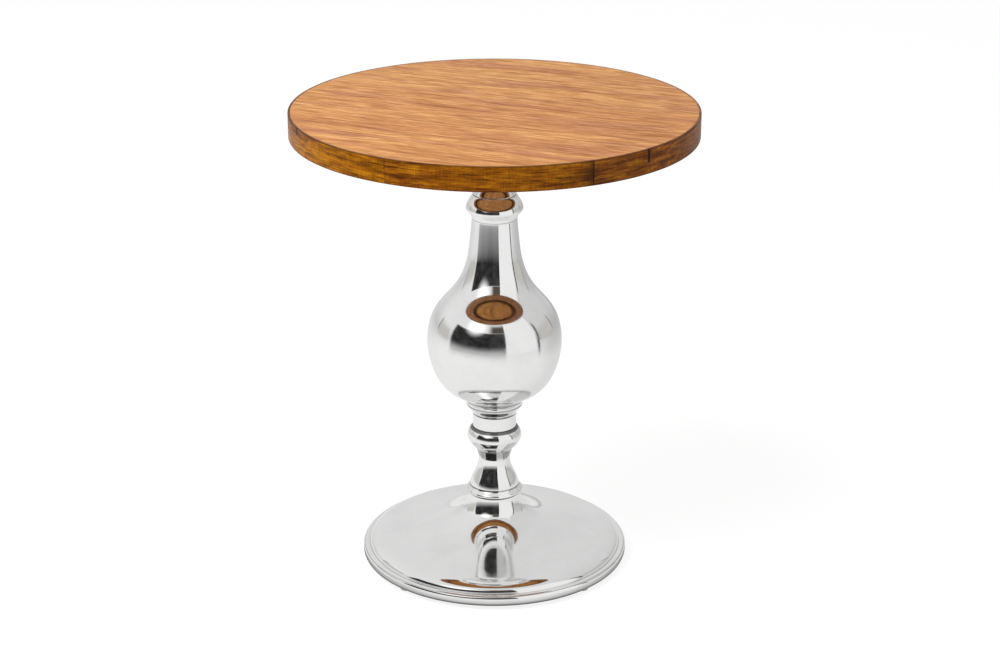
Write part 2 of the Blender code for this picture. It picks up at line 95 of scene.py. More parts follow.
class Profile:
    """Outline of a turned piece, drawn point by point as (radius, height) pairs."""

    def __init__(self, start: Point) -> None:
        """Start the outline at a point."""
        self.runs: list[np.ndarray] = [np.array([start], float)]

    def line(self, end: Point, steps: int = 1) -> "Profile":
        """Go straight to a point.

        Args:
            end: where the line stops.
            steps: how many points the line gets.

        Returns:
            The profile itself, so that calls can follow each other.
        """
        begin = self.runs[-1][-1]
        share = np.linspace(0.0, 1.0, steps + 1)[1:, None]
        self.runs.append(begin + share * (np.array(end) - begin))
        return self

    def bend(self, end: Point, handles: tuple[Point, Point], steps: int) -> "Profile":
        """Go to a point along a cubic: the sum of its four corners, weighted by the Bernstein polynomials.

        Args:
            end: where the curve stops.
            handles: its two inner corners, as shares of the run in radius and in height.
            steps: how many points the curve gets.

        Returns:
            The profile itself, so that calls can follow each other.
        """
        begin = self.runs[-1][-1]
        reach = np.array(end) - begin
        corners = np.stack([begin, begin + handles[0] * reach, begin + handles[1] * reach, np.array(end)])
        t = np.linspace(0.0, 1.0, steps + 1)[1:, None]
        weights = np.hstack([(1 - t) ** 3, 3 * t * (1 - t) ** 2, 3 * t * t * (1 - t), t ** 3])
        self.runs.append(weights @ corners)
        return self

    def points(self) -> np.ndarray:
        """All points of the outline, one row each."""
        return np.concatenate(self.runs)


def eased(points: np.ndarray, radius: float, closed: bool) -> np.ndarray:
    """Round the sharp corners of an outline.

    Each sharp corner gives way to a parabola through two points on its legs, which lie the given distance
    from the corner, or less than half a leg where the leg is short.

    Args:
        points: outline as rows of (radius, height).
        radius: distance of the parabola's ends from the corner.
        closed: whether the last point joins the first.

    Returns:
        The outline with its corners rounded.
    """
    before = np.roll(points, 1, axis=0) - points
    after = np.roll(points, -1, axis=0) - points
    length_before = np.linalg.norm(before, axis=1)
    length_after = np.linalg.norm(after, axis=1)
    cosine = (before * after).sum(axis=1) / (length_before * length_after)
    corner = cosine > -math.cos(math.radians(CORNER_TURN))
    if not closed:
        corner[[0, -1]] = False
    reach = np.minimum(radius, LEG_SHARE * np.minimum(length_before, length_after))
    start = points + before * (reach / length_before)[:, None]
    end = points + after * (reach / length_after)[:, None]
    t = np.linspace(0.0, 1.0, ROUND_POINTS)[None, :, None]
    rounds = (1 - t) ** 2 * start[:, None] + 2 * t * (1 - t) * points[:, None] + t * t * end[:, None]
    order = np.arange(len(points))[:, None] + np.linspace(-0.4, 0.4, ROUND_POINTS)[None]
    keys = np.concatenate([np.flatnonzero(~corner), order[corner].ravel()])
    rows = np.concatenate([points[~corner], rounds[corner].reshape(-1, 2)])
    return rows[np.argsort(keys, kind="stable")]


def full_turn(count: int) -> np.ndarray:
    """Angles spread evenly round a full turn."""
    return np.linspace(0.0, math.tau, count, endpoint=False)


def spun(radii: np.ndarray, heights: np.ndarray, angles: np.ndarray) -> np.ndarray:
    """Grid of points with a row for each angle a: x = r cos(a), y = r sin(a), z = h.

    Args:
        radii: radius r of each column, or of each point.
        heights: height h of each column, or of each point.
        angles: the angles.

    Returns:
        Coordinates by row and column.
    """
    radii, heights, angles = np.broadcast_arrays(radii, heights, angles[:, None])
    return np.stack([radii * np.cos(angles), radii * np.sin(angles), heights], axis=-1)


def quads(shape: tuple[int, int], ring: bool = False, loop: bool = False) -> np.ndarray:
    """Faces of a grid: each point, the next in its row, and the same two of the next row, in turn.

    Args:
        shape: numbers of rows and columns.
        ring: whether the last row joins the first.
        loop: whether the last column joins the first.

    Returns:
        Four indices per face.
    """
    index = np.arange(shape[0] * shape[1]).reshape(shape)
    index = np.pad(index, ((0, int(ring)), (0, int(loop))), mode="wrap")
    corners = (index[:-1, :-1], index[:-1, 1:], index[1:, 1:], index[1:, :-1])
    return np.stack(corners, axis=-1).reshape(-1, 4)


def turned(outline: np.ndarray, sides: int) -> Mesh:
    """Spin an outline about Z.

    An outline that starts and ends on the axis gets a pole there, and any other is closed into a ring.

    Args:
        outline: rows of (radius, height), counted so that the surface faces outwards.
        sides: number of angles.

    Returns:
        Vertices, and faces as index arrays.
    """
    poles = outline[0, 0] == 0.0 and outline[-1, 0] == 0.0
    body = outline[1:-1] if poles else outline
    grid = spun(body[:, 0], body[:, 1], full_turn(sides))
    vertices = grid.reshape(-1, 3)
    faces = [quads(grid.shape[:2], True, not poles)]
    if poles:
        index = np.arange(len(vertices)).reshape(grid.shape[:2])
        beside = np.roll(index, -1, axis=0)
        pole = np.full(sides, len(vertices))
        faces.append(np.stack([pole, index[:, 0], beside[:, 0]], axis=-1))
        faces.append(np.stack([pole + 1, beside[:, -1], index[:, -1]], axis=-1))
        vertices = np.concatenate([vertices, np.column_stack([np.zeros((2, 2)), outline[[0, -1], 1]])])
    return vertices, faces


def swept(section: np.ndarray, start: float, end: float, steps: int) -> Mesh:
    """Carry a closed section round Z from one angle to another and cap its ends.

    Args:
        section: rows of (radius, height), clockwise with the radius to the right.
        start: first angle.
        end: last angle.
        steps: number of steps between them.

    Returns:
        Vertices, and faces as index arrays.
    """
    grid = spun(section[:, 0], section[:, 1], np.linspace(start, end, steps + 1))
    first = np.arange(len(section))[None]
    caps = [first[:, ::-1], first + steps * len(section)]
    return grid.reshape(-1, 3), [quads(grid.shape[:2], loop=True), *caps]


def capped(grid: np.ndarray) -> Mesh:
    """Close a grid that runs round an axis with a flat face at its first and at its last column.

    Args:
        grid: coordinates by row and column, the columns from the top down.

    Returns:
        Vertices, and faces as index arrays.
    """
    rows, columns = grid.shape[:2]
    first = np.arange(rows)[None] * columns
    return grid.reshape(-1, 3), [quads((rows, columns), True), first, first[:, ::-1] + columns - 1]


def thread_depth(heights: np.ndarray, angles: np.ndarray, pitch: float) -> np.ndarray:
    """Depth of a thread from 0 to 1, by angle a and height z: a triangle wave of z / pitch + a / turn."""
    return np.abs(2.0 * ((heights[None] / pitch + angles[:, None] / math.tau) % 1.0) - 1.0)


def add_piece(name: str, vertices: np.ndarray, faces: Sequence[np.ndarray], finish: bpy.types.Material,
              smooth_angle: float = 35.0) -> bpy.types.Object:
    """Put arrays into a mesh object at the origin.

    Args:
        name: name of the piece.
        vertices: one row of x, y, z per vertex.
        faces: index arrays, each with one row per face.
        finish: material of the whole piece.
        smooth_angle: edges that bend by more degrees stay sharp.

    Returns:
        The new object.
    """
    mesh = bpy.data.meshes.new(name)
    corners = np.concatenate([block.ravel() for block in faces])
    widths = np.concatenate([np.full(len(block), block.shape[1]) for block in faces])
    mesh.vertices.add(len(vertices))
    mesh.vertices.foreach_set("co", vertices.astype(np.float32).ravel())
    mesh.loops.add(len(corners))
    mesh.loops.foreach_set("vertex_index", corners.astype(np.int32))
    mesh.polygons.add(len(widths))
    mesh.polygons.foreach_set("loop_start", (np.cumsum(widths) - widths).astype(np.int32))
    mesh.update(calc_edges=True)
    mesh.materials.append(finish)
    mesh.shade_smooth()
    mesh.set_sharp_from_angle(angle=math.radians(smooth_angle))
    piece = bpy.data.objects.new(name, mesh)
    bpy.context.scene.collection.objects.link(piece)
    return piece


def stand_in(piece: bpy.types.Object, slot: Slot, *nodes: str) -> None:
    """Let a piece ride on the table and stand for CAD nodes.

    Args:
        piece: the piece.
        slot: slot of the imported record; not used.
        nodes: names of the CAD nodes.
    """
    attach(piece, BODY)
    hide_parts(*nodes)
    LOG.info("%s stands for %s", piece.name, ", ".join(nodes))


def rgba(colour: Colour) -> tuple[float, float, float, float]:
    """Colour with full alpha."""
    return (*colour, 1.0)


class Graph:
    """Short hand for adding and linking nodes in one shader tree."""

    def __init__(self, tree: bpy.types.NodeTree) -> None:
        """Keep the tree that the nodes go into."""
        self.tree = tree

    def add(self, kind: str, inputs: dict | None = None, **settings: object) -> bpy.types.Node:
        """Add a node.

        Args:
            kind: node type without the ShaderNode prefix.
            inputs: values or sockets by input name or number.
            settings: attributes of the node.

        Returns:
            The node.
        """
        prefix = "" if kind.startswith("Node") else "ShaderNode"
        node = self.tree.nodes.new(prefix + kind)
        for key, value in settings.items():
            setattr(node, key, value)
        for key, value in (inputs or {}).items():
            self.feed(node.inputs[key], value)
        return node

    def feed(self, socket: Socket, value: Feed) -> None:
        """Link a socket to another, or set its value.

        Args:
            socket: the socket to feed.
            value: the other socket, or the value.
        """
        if isinstance(value, Socket):
            self.tree.links.new(value, socket)
        else:
            socket.default_value = value

    def math(self, operation: str, first: Feed, second: Feed = 0.0) -> Socket:
        """Result of a Math node."""
        return self.add("Math", {0: first, 1: second}, operation=operation).outputs[0]

    def total(self, *values: Feed) -> Socket:
        """Sum of values."""
        return reduce(lambda sofar, value: self.math("ADD", sofar, value), values)

    def product(self, *values: Feed) -> Socket:
        """Product of values."""
        return reduce(lambda sofar, value: self.math("MULTIPLY", sofar, value), values)

    def largest(self, values: Sequence[Socket]) -> Socket:
        """Largest of values."""
        return reduce(lambda sofar, value: self.math("MAXIMUM", sofar, value), values)

    def between(self, first: Feed, second: Feed) -> Socket:
        """Distance between two values."""
        return self.math("ABSOLUTE", self.math("SUBTRACT", first, second))

    def vector(self, operation: str, first: Feed, second: Feed = (0.0, 0.0, 0.0)) -> Socket:
        """Vector result of a Vector Math node."""
        return self.add("VectorMath", {0: first, 1: second}, operation=operation).outputs["Vector"]

    def split(self, vector: Socket) -> list[Socket]:
        """X, Y and Z of a vector."""
        return list(self.add("SeparateXYZ", {0: vector}).outputs)

    def join(self, x: Feed = 0.0, y: Feed = 0.0, z: Feed = 0.0) -> Socket:
        """Vector of three values."""
        return self.add("CombineXYZ", {0: x, 1: y, 2: z}).outputs[0]

    def place(self, kind: str = "Object") -> Socket:
        """Coordinates of the shaded point."""
        return self.add("TexCoord").outputs[kind]

    def length(self, vector: Socket) -> Socket:
        """Length of a vector."""
        return self.add("VectorMath", {0: vector}, operation="LENGTH").outputs["Value"]

    def from_axis(self, place: Socket) -> Socket:
        """Distance of a place from Z."""
        return self.length(self.vector("MULTIPLY", place, (1.0, 1.0, 0.0)))

    def mix(self, factor: Feed, first: Feed, second: Feed, blend: str = "MIX") -> Socket:
        """Colour result of a Mix node."""
        inputs = {0: factor, 6: first, 7: second}
        return self.add("Mix", inputs, data_type="RGBA", blend_type=blend).outputs[2]

    def noise(self, place: Socket, stretch: Triple, detail: float = 2.0, roughness: float = 0.5,
              distortion: float = 0.0) -> Socket:
        """Noise at a place whose axes are stretched.

        Args:
            place: where it is taken.
            stretch: waves per metre along each axis.
            detail: octaves.
            roughness: share that each octave keeps of the one before.
            distortion: how far it is bent by itself.

        Returns:
            The value of the noise.
        """
        values = {"Vector": self.vector("MULTIPLY", place, stretch), "Scale": 1.0, "Detail": detail,
                  "Roughness": roughness, "Distortion": distortion}
        return self.add("TexNoise", values).outputs["Fac"]

    def span(self, value: Feed, low: float, high: float, first: float = 0.0, second: float = 1.0,
             smooth: bool = True) -> Socket:
        """Map a value from one range to another and hold it at the ends.

        Args:
            value: the value.
            low: start of its range.
            high: end of its range.
            first: result at the start.
            second: result at the end.
            smooth: whether the way between is a smooth step, or else a line.

        Returns:
            The mapped value.
        """
        kind = "SMOOTHSTEP" if smooth else "LINEAR"
        values = {"Value": value, "From Min": low, "From Max": high, "To Min": first, "To Max": second}
        return self.add("MapRange", values, interpolation_type=kind).outputs["Result"]

    def window(self, value: Feed, rise: Point, fall: Point) -> Socket:
        """Share that climbs from 0 to 1 over one range and drops to 0 over another."""
        return self.product(self.span(value, *rise), self.span(value, *fall, 1.0, 0.0))

    def toned(self, colour: Feed, tone: Socket, green: float, blue: float) -> Socket:
        """Colour times a tone that enters the green and the blue with a power."""
        inputs = {0: tone, 1: self.math("POWER", tone, green), 2: self.math("POWER", tone, blue)}
        return self.mix(1.0, colour, self.add("CombineColor", inputs).outputs[0], "MULTIPLY")

    def emboss(self, shader: bpy.types.Node, height: Feed, strength: float, distance: float) -> None:
        """Feed a bump to a shader."""
        bump = self.add("Bump", {"Strength": strength, "Distance": distance, "Height": height})
        self.feed(shader.inputs["Normal"], bump.outputs["Normal"])


def new_group(name: str, inputs: dict[str, object], outputs: dict[str, str]) -> tuple[Graph, dict, dict]:
    """Make a shader node group with named sockets.

    Args:
        name: name of the group.
        inputs: default value by socket name; a float, a three-tuple for a vector, a four-tuple for a colour.
        outputs: socket type by socket name.

    Returns:
        The group's graph, its input sockets by name, and the sockets to feed by output name.
    """
    tree = bpy.data.node_groups.new(name, "ShaderNodeTree")
    for label, value in inputs.items():
        width = len(value) if isinstance(value, tuple) else 1
        kind = {1: "NodeSocketFloat", 3: "NodeSocketVector", 4: "NodeSocketColor"}[width]
        socket = tree.interface.new_socket(label, in_out="INPUT", socket_type=kind)
        socket.default_value = value
    for label, kind in outputs.items():
        tree.interface.new_socket(label, in_out="OUTPUT", socket_type=kind)
    graph = Graph(tree)
    given = graph.add("NodeGroupInput").outputs
    result = graph.add("NodeGroupOutput").inputs
    return graph, {label: given[label] for label in inputs}, {label: result[label] for label in outputs}


def wood_figure() -> bpy.types.NodeTree:
    """Group that draws wood along X of its vector: broad bands, growth lines, streaks, fibres and pores.

    Each layer is a noise whose vector is stretched along the grain, and the growth lines are the crests of a
    sine of the distance across the grain, bent by a slow noise.

    Returns:
        The group.
    """
    inputs = {"Vector": (0.0, 0.0, 0.0), "Light": (0.7, 0.36, 0.14, 1.0), "Middle": (0.6, 0.28, 0.1, 1.0),
              "Dark": (0.3, 0.11, 0.035, 1.0), "Blush": (0.55, 0.25, 0.13, 1.0), "Streaks": 0.5, "Lines": 0.4,
              "Pores": 0.4, "Seed": 0.0}
    outputs = {"Color": "NodeSocketColor", "Height": "NodeSocketFloat", "Depth": "NodeSocketFloat"}
    graph, given, result = new_group("wood_figure", inputs, outputs)
    shift = graph.join(*(graph.product(given["Seed"], step) for step in (3.71, 1.37, 2.19)))
    place = graph.vector("ADD", given["Vector"], shift)
    sway = graph.math("SUBTRACT", graph.noise(place, (2.4, 7.0, 7.0), 1.0), 0.5)
    grain = graph.vector("ADD", place, graph.join(y=graph.product(sway, 0.030)))

    def layer(along: float, across: float, detail: float, roughness: float = 0.55) -> Socket:
        """Noise of the grain, stretched along it."""
        return graph.noise(grain, (along, across, across), detail, roughness)

    fibre = layer(26.0, 620.0, 2.0)
    phase = graph.math("ADD", graph.product(graph.split(grain)[1], 410.0),
                       graph.product(layer(2.2, 13.0, 2.0), 26.0))
    crest = graph.math("ADD", graph.product(graph.math("SINE", phase), 0.5), 0.5)
    gate = graph.span(layer(5.0, 60.0, 2.0), 0.46, 0.66)
    line = graph.product(graph.math("POWER", crest, 5.0), gate)
    dash = graph.noise(grain, (19.0, 430.0, 400.0), 2.0, 0.55)
    thin = graph.math("MAXIMUM", line, graph.span(dash, 0.57, 0.66))
    gold = graph.noise(grain, (5.0, 62.0, 47.0), 2.0, 0.55)

    colour = graph.mix(graph.span(layer(1.6, 26.0, 2.0), 0.36, 0.62), given["Light"], given["Middle"])
    colour = graph.mix(graph.span(layer(7.0, 30.0, 3.0, 0.6), 0.47, 0.70, 0.0, 0.85), colour, given["Blush"])
    colour = graph.mix(graph.span(gold, 0.54, 0.72, 0.0, 0.75), colour, given["Light"])
    streak = graph.product(graph.span(layer(11.0, 150.0, 3.0, 0.6), 0.50, 0.72), given["Streaks"])
    colour = graph.mix(streak, colour, given["Dark"])
    colour = graph.mix(graph.product(thin, given["Lines"]), colour, given["Dark"])
    fleck = graph.span(layer(30.0, 240.0, 3.0, 0.65), 0.28, 0.72, 0.76, 1.18)
    tone = graph.product(fleck, graph.span(fibre, 0.3, 0.7, 0.90, 1.07))
    colour = graph.toned(colour, tone, 1.45, 2.6)
    pit = graph.span(layer(70.0, 1500.0, 1.0), 0.60, 0.70)
    deep = graph.product(pit, given["Pores"])
    colour = graph.mix(deep, colour, graph.mix(0.5, given["Dark"], BLACK))
    graph.feed(result["Color"], colour)
    graph.feed(result["Height"], graph.math("SUBTRACT", graph.product(fibre, 0.35), pit))
    graph.feed(result["Depth"], graph.math("MAXIMUM", streak, deep))
    return graph.tree


def lathe_polish() -> bpy.types.NodeTree:
    """Group that draws the marks of turning and polishing: rings round Z, and a cloudy haze.

    The rings are a noise of (distance from Z, height), so that they run round the piece.

    Returns:
        The group.
    """
    inputs = {"Vector": (0.0, 0.0, 0.0), "Base": 0.06, "Haze": 0.05, "Rings": 0.02}
    outputs = {"Roughness": "NodeSocketFloat", "Height": "NodeSocketFloat", "Stain": "NodeSocketFloat"}
    graph, given, result = new_group("lathe_polish", inputs, outputs)
    place = given["Vector"]
    turning = graph.join(graph.from_axis(place), graph.split(place)[2])
    ring = graph.noise(turning, (1400.0, 1400.0, 1.0), 2.0)
    wide_ring = graph.noise(turning, (160.0, 160.0, 1.0), 2.0)
    cloud = graph.noise(place, (22.0, 22.0, 22.0), 3.0, 0.6)
    ripple = graph.noise(place, (34.0, 34.0, 26.0), 1.0)
    haze = graph.product(graph.span(cloud, 0.42, 0.70), given["Haze"])
    rings = graph.product(graph.span(ring, 0.35, 0.75), given["Rings"])
    graph.feed(result["Roughness"], graph.total(given["Base"], haze, rings))
    graph.feed(result["Height"], graph.math("ADD", ripple, graph.product(wide_ring, 0.12)))
    graph.feed(result["Stain"], graph.span(cloud, 0.35, 0.75))
    return graph.tree


class Groups:
    """Shared node groups, each made once."""

    def __init__(self) -> None:
        """Build the groups."""
        self.wood = wood_figure()
        self.polish = lathe_polish()


def new_material(name: str) -> tuple[bpy.types.Material, Graph, bpy.types.Node]:
    """Make a node material.

    Args:
        name: name of the material.

    Returns:
        The material, its graph and its Principled shader.
    """
    material = bpy.data.materials.new(name)
    material.use_nodes = True
    return material, Graph(material.node_tree), material.node_tree.nodes["Principled BSDF"]


@dataclass(frozen=True)
class WoodTones:
    """Colours and strengths of one wood."""

    light: Colour
    middle: Colour
    dark: Colour
    blush: Colour
    streaks: float
    lines: float
    pores: float

    def figure(self, graph: Graph, group: bpy.types.NodeTree, vector: Socket, seed: float) -> bpy.types.Node:
        """Place the wood group in a material.

        Args:
            graph: graph of the material.
            group: the shared wood group.
            vector: socket with the place along, across and into the wood.
            seed: shifts the pattern, so that no two pieces are alike.

        Returns:
            The group node.
        """
        values = {"Vector": vector, "Light": rgba(self.light), "Middle": rgba(self.middle),
                  "Dark": rgba(self.dark), "Blush": rgba(self.blush), "Streaks": self.streaks,
                  "Lines": self.lines, "Pores": self.pores, "Seed": seed}
        return graph.add("Group", values, node_tree=group)


BOARD_TONES = WoodTones(light=(0.67, 0.322, 0.098), middle=(0.56, 0.234, 0.068), dark=(0.25, 0.074, 0.016),
                        blush=(0.46, 0.180, 0.074), streaks=0.55, lines=0.62, pores=0.40)
BAND_TONES = WoodTones(light=(0.44, 0.150, 0.003), middle=(0.28, 0.076, 0.001), dark=(0.055, 0.013, 0.0005),
                       blush=(0.22, 0.052, 0.002), streaks=0.85, lines=0.70, pores=0.55)
GOLD_TONES = WoodTones(light=(0.60, 0.235, 0.004), middle=(0.42, 0.140, 0.001), dark=(0.085, 0.024, 0.0005),
                       blush=(0.30, 0.090, 0.002), streaks=0.85, lines=0.70, pores=0.55)
RUST_TONES = WoodTones(light=(0.44, 0.150, 0.012), middle=(0.30, 0.088, 0.008), dark=(0.075, 0.018, 0.003),
                       blush=(0.27, 0.062, 0.010), streaks=0.80, lines=0.65, pores=0.55)
RIM_TONES = WoodTones(light=(0.42, 0.20, 0.095), middle=(0.35, 0.155, 0.07), dark=(0.16, 0.06, 0.025),
                      blush=(0.32, 0.14, 0.075), streaks=0.5, lines=0.4, pores=0.4)


def lacquered(graph: Graph, shader: bpy.types.Node, figure: bpy.types.Node, height: Socket,
              finish: "BoardFinish | BandFinish") -> None:
    """Feed the roughness, relief and gloss of lacquered wood to a shader.

    Args:
        graph: graph of the material.
        shader: its Principled shader.
        figure: node of the wood group, whose depth dulls the lacquer.
        height: relief of the wood.
        finish: finish that gives the values.
    """
    depth = figure.outputs["Depth"]
    rough = (finish.roughness, finish.roughness + finish.dulling)
    graph.feed(shader.inputs["Roughness"], graph.span(depth, 0.0, DULL_DEPTH, *rough, False))
    graph.emboss(shader, height, finish.bump, WOOD_RELIEF)
    shader.inputs["IOR"].default_value = LACQUER_IOR
    shader.inputs["Specular IOR Level"].default_value = finish.specular


@dataclass(frozen=True)
class BoardFinish:
    """Semi-gloss lacquer on a board whose grain runs at an angle to X.

    The corner is a ring of painted shade under the boards, in the recess beside the rim, and on the rim's
    inner wall: its radius, its half width and its upper level.
    """

    name: str
    tones: WoodTones
    angle: float
    seed: float
    roughness: float = 0.34
    bump: float = 0.12
    dulling: float = 0.14
    specular: float = 0.08
    # Painted shade in the recess corner: radius, half width and upper level of its ring
    corner: Triple = (0.2077, 0.0055, 0.5752)
    recess_shade_edge: float = 0.0003
    recess_shade_depth: float = 0.8
    recess_shade_colour: Colour = (0.035, 0.012, 0.004)

    def paint_recess_shade(self, graph: Graph, place: Socket) -> Socket:
        """Paint shade into the corner under the boards and onto the rim's inner wall.

        Args:
            graph: graph of the material.
            place: place on the board.

        Returns:
            Share of the painted shade's colour.
        """
        radius, reach, level = self.corner
        away = graph.between(graph.from_axis(place), radius)
        below = graph.span(graph.split(place)[2], level, level + self.recess_shade_edge, self.recess_shade_depth, 0.0)
        return graph.product(graph.span(away, 0.0, reach, 1.0, 0.0), below)

    def material(self, groups: Groups) -> bpy.types.Material:
        """Build the board's material.

        Args:
            groups: shared node groups.

        Returns:
            The material.
        """
        material, graph, shader = new_material(self.name)
        place = graph.place()
        grain = graph.add("Mapping", {"Vector": place, "Rotation": (0.0, 0.0, -self.angle)}).outputs[0]
        figure = self.tones.figure(graph, groups.wood, grain, self.seed)
        # Painted shade where the rim's step would shade the boards, and on the rim's inner wall
        corner = self.paint_recess_shade(graph, place)
        colour = graph.mix(corner, figure.outputs["Color"], rgba(self.recess_shade_colour))
        graph.feed(shader.inputs["Base Color"], colour)
        lacquered(graph, shader, figure, figure.outputs["Height"], self)
        return material


@dataclass(frozen=True)
class BandFinish:
    """Darker lacquer on a strip bent round the edge, with its grain along the arc and stains at its ends.

    The ends are angles in degrees. Each crack is an angle, a reach from the top and a half width.
    The marks say how strongly the two ends show, and the radius turns angles into arc lengths.
    """

    number: int
    start: float
    end: float
    cracks: tuple[Triple, ...] = ()
    marks: Point = (0.5, 0.5)
    arris: float = 0.3
    tones: WoodTones = BAND_TONES
    low: float = TOP_LOW
    high: float = TOP_HIGH
    radius: float = 0.25
    joint: float = 0.0016
    stain: float = 0.016
    roughness: float = 0.30
    bump: float = 0.22
    dulling: float = 0.15
    specular: float = 0.10
    blotch_colour: Colour = (0.085, 0.025, 0.001)
    bare_colour: Colour = (0.56, 0.225, 0.005)
    stain_colour: Colour = (0.040, 0.015, 0.004)
    split_colour: Colour = (0.012, 0.006, 0.004)
    arris_colour: Colour = (0.050, 0.012, 0.001)
    foot_colour: Colour = (0.075, 0.025, 0.008)

    def arc(self, degrees: float) -> float:
        """Arc length at an angle."""
        return math.radians(degrees) * self.radius

    def worn(self, graph: Graph, vector: Socket, blotch: Socket, colour: Socket) -> Socket:
        """Lay blotches, saw marks across the strip and fine lines along it over a colour.

        Args:
            graph: graph of the material.
            vector: arc length, height and distance from Z.
            blotch: noise of the blotches.
            colour: the colour.

        Returns:
            The worn colour.
        """
        colour = graph.mix(graph.span(blotch, 0.46, 0.72, 0.0, 0.55), colour, rgba(self.blotch_colour))
        colour = graph.mix(graph.span(blotch, 0.28, 0.50, 0.50, 0.0), colour, rgba(self.bare_colour))
        saw = graph.noise(vector, (620.0, 40.0, 40.0), 2.0)
        fine = graph.noise(vector, (24.0, 900.0, 900.0), 2.0)
        tone = graph.product(graph.span(saw, 0.3, 0.7, 0.86, 1.12), graph.span(fine, 0.3, 0.7, 0.78, 1.20))
        return graph.toned(colour, tone, 1.3, 1.6)

    def splits(self, graph: Graph, ends: Sequence[Socket], along: Socket, height: Socket) -> Socket:
        """Draw the open joints at the ends and the cracks that run down from the top.

        Args:
            graph: graph of the material.
            ends: arc length from each end.
            along: arc length.
            height: height.

        Returns:
            Share of open wood.
        """
        shares = [graph.span(near, self.joint * mark * 0.5, self.joint * mark, mark, 0.0)
                  for near, mark in zip(ends, self.marks)]
        for angle, reach, width in self.cracks:
            side = graph.span(graph.between(along, self.arc(angle)), width * 0.35, width, 1.0, 0.0)
            level = graph.span(height, self.high - reach, self.high - reach * 0.8)
            shares.append(graph.product(side, level))
        return graph.largest(shares)

    def material(self, groups: Groups) -> bpy.types.Material:
        """Build the strip's material, whose figure runs over (arc length, height, distance from Z).

        Args:
            groups: shared node groups.

        Returns:
            The material.
        """
        material, graph, shader = new_material(f"edge_band_{self.number}_lacquer")
        place = graph.place()
        x, y, height = graph.split(place)
        along = graph.product(graph.math("ARCTAN2", y, x), self.radius)
        vector = graph.join(along, height, graph.from_axis(place))
        figure = self.tones.figure(graph, groups.wood, vector, 2.3 * self.number)
        blotch = graph.noise(vector, (45.0, 150.0, 150.0), 3.0, 0.6)
        colour = self.worn(graph, vector, blotch, figure.outputs["Color"])
        ends = (graph.math("SUBTRACT", along, self.arc(self.start)),
                graph.math("SUBTRACT", self.arc(self.end), along))
        for near, mark in zip(ends, self.marks):
            ragged = graph.math("ADD", near, graph.product(blotch, -0.012))
            smudge = graph.span(ragged, -0.006, self.stain, 0.75 * mark * mark, 0.0)
            colour = graph.mix(smudge, colour, rgba(self.stain_colour))
        split = self.splits(graph, ends, along, height)
        colour = graph.mix(graph.product(split, 0.92), colour, rgba(self.split_colour))
        arris = graph.span(height, self.high - 0.0016, self.high - 0.0004)
        colour = graph.mix(graph.product(arris, self.arris), colour, rgba(self.arris_colour))
        foot = graph.span(height, self.low, self.low + 0.0024, 0.6, 0.0)
        graph.feed(shader.inputs["Base Color"], graph.mix(foot, colour, rgba(self.foot_colour)))
        relief = graph.math("SUBTRACT", figure.outputs["Height"], graph.product(split, 2.0))
        lacquered(graph, shader, figure, relief, self)
        return material


STRIPS = (BandFinish(6, -180.0, -119.8, ((-158.0, 0.009, 0.0040),), (0.5, 0.25), 0.80, GOLD_TONES),
          BandFinish(1, -119.8, -63.5, marks=(0.2, 1.0), arris=0.75),
          BandFinish(2, -63.5, -4.0, ((-45.3, 0.018, 0.0030),), (0.6, 0.5), 0.60, RUST_TONES),
          BandFinish(3, -4.0, 56.0, tones=RUST_TONES),
          BandFinish(4, 56.0, 118.0),
          BandFinish(5, 118.0, 180.0))


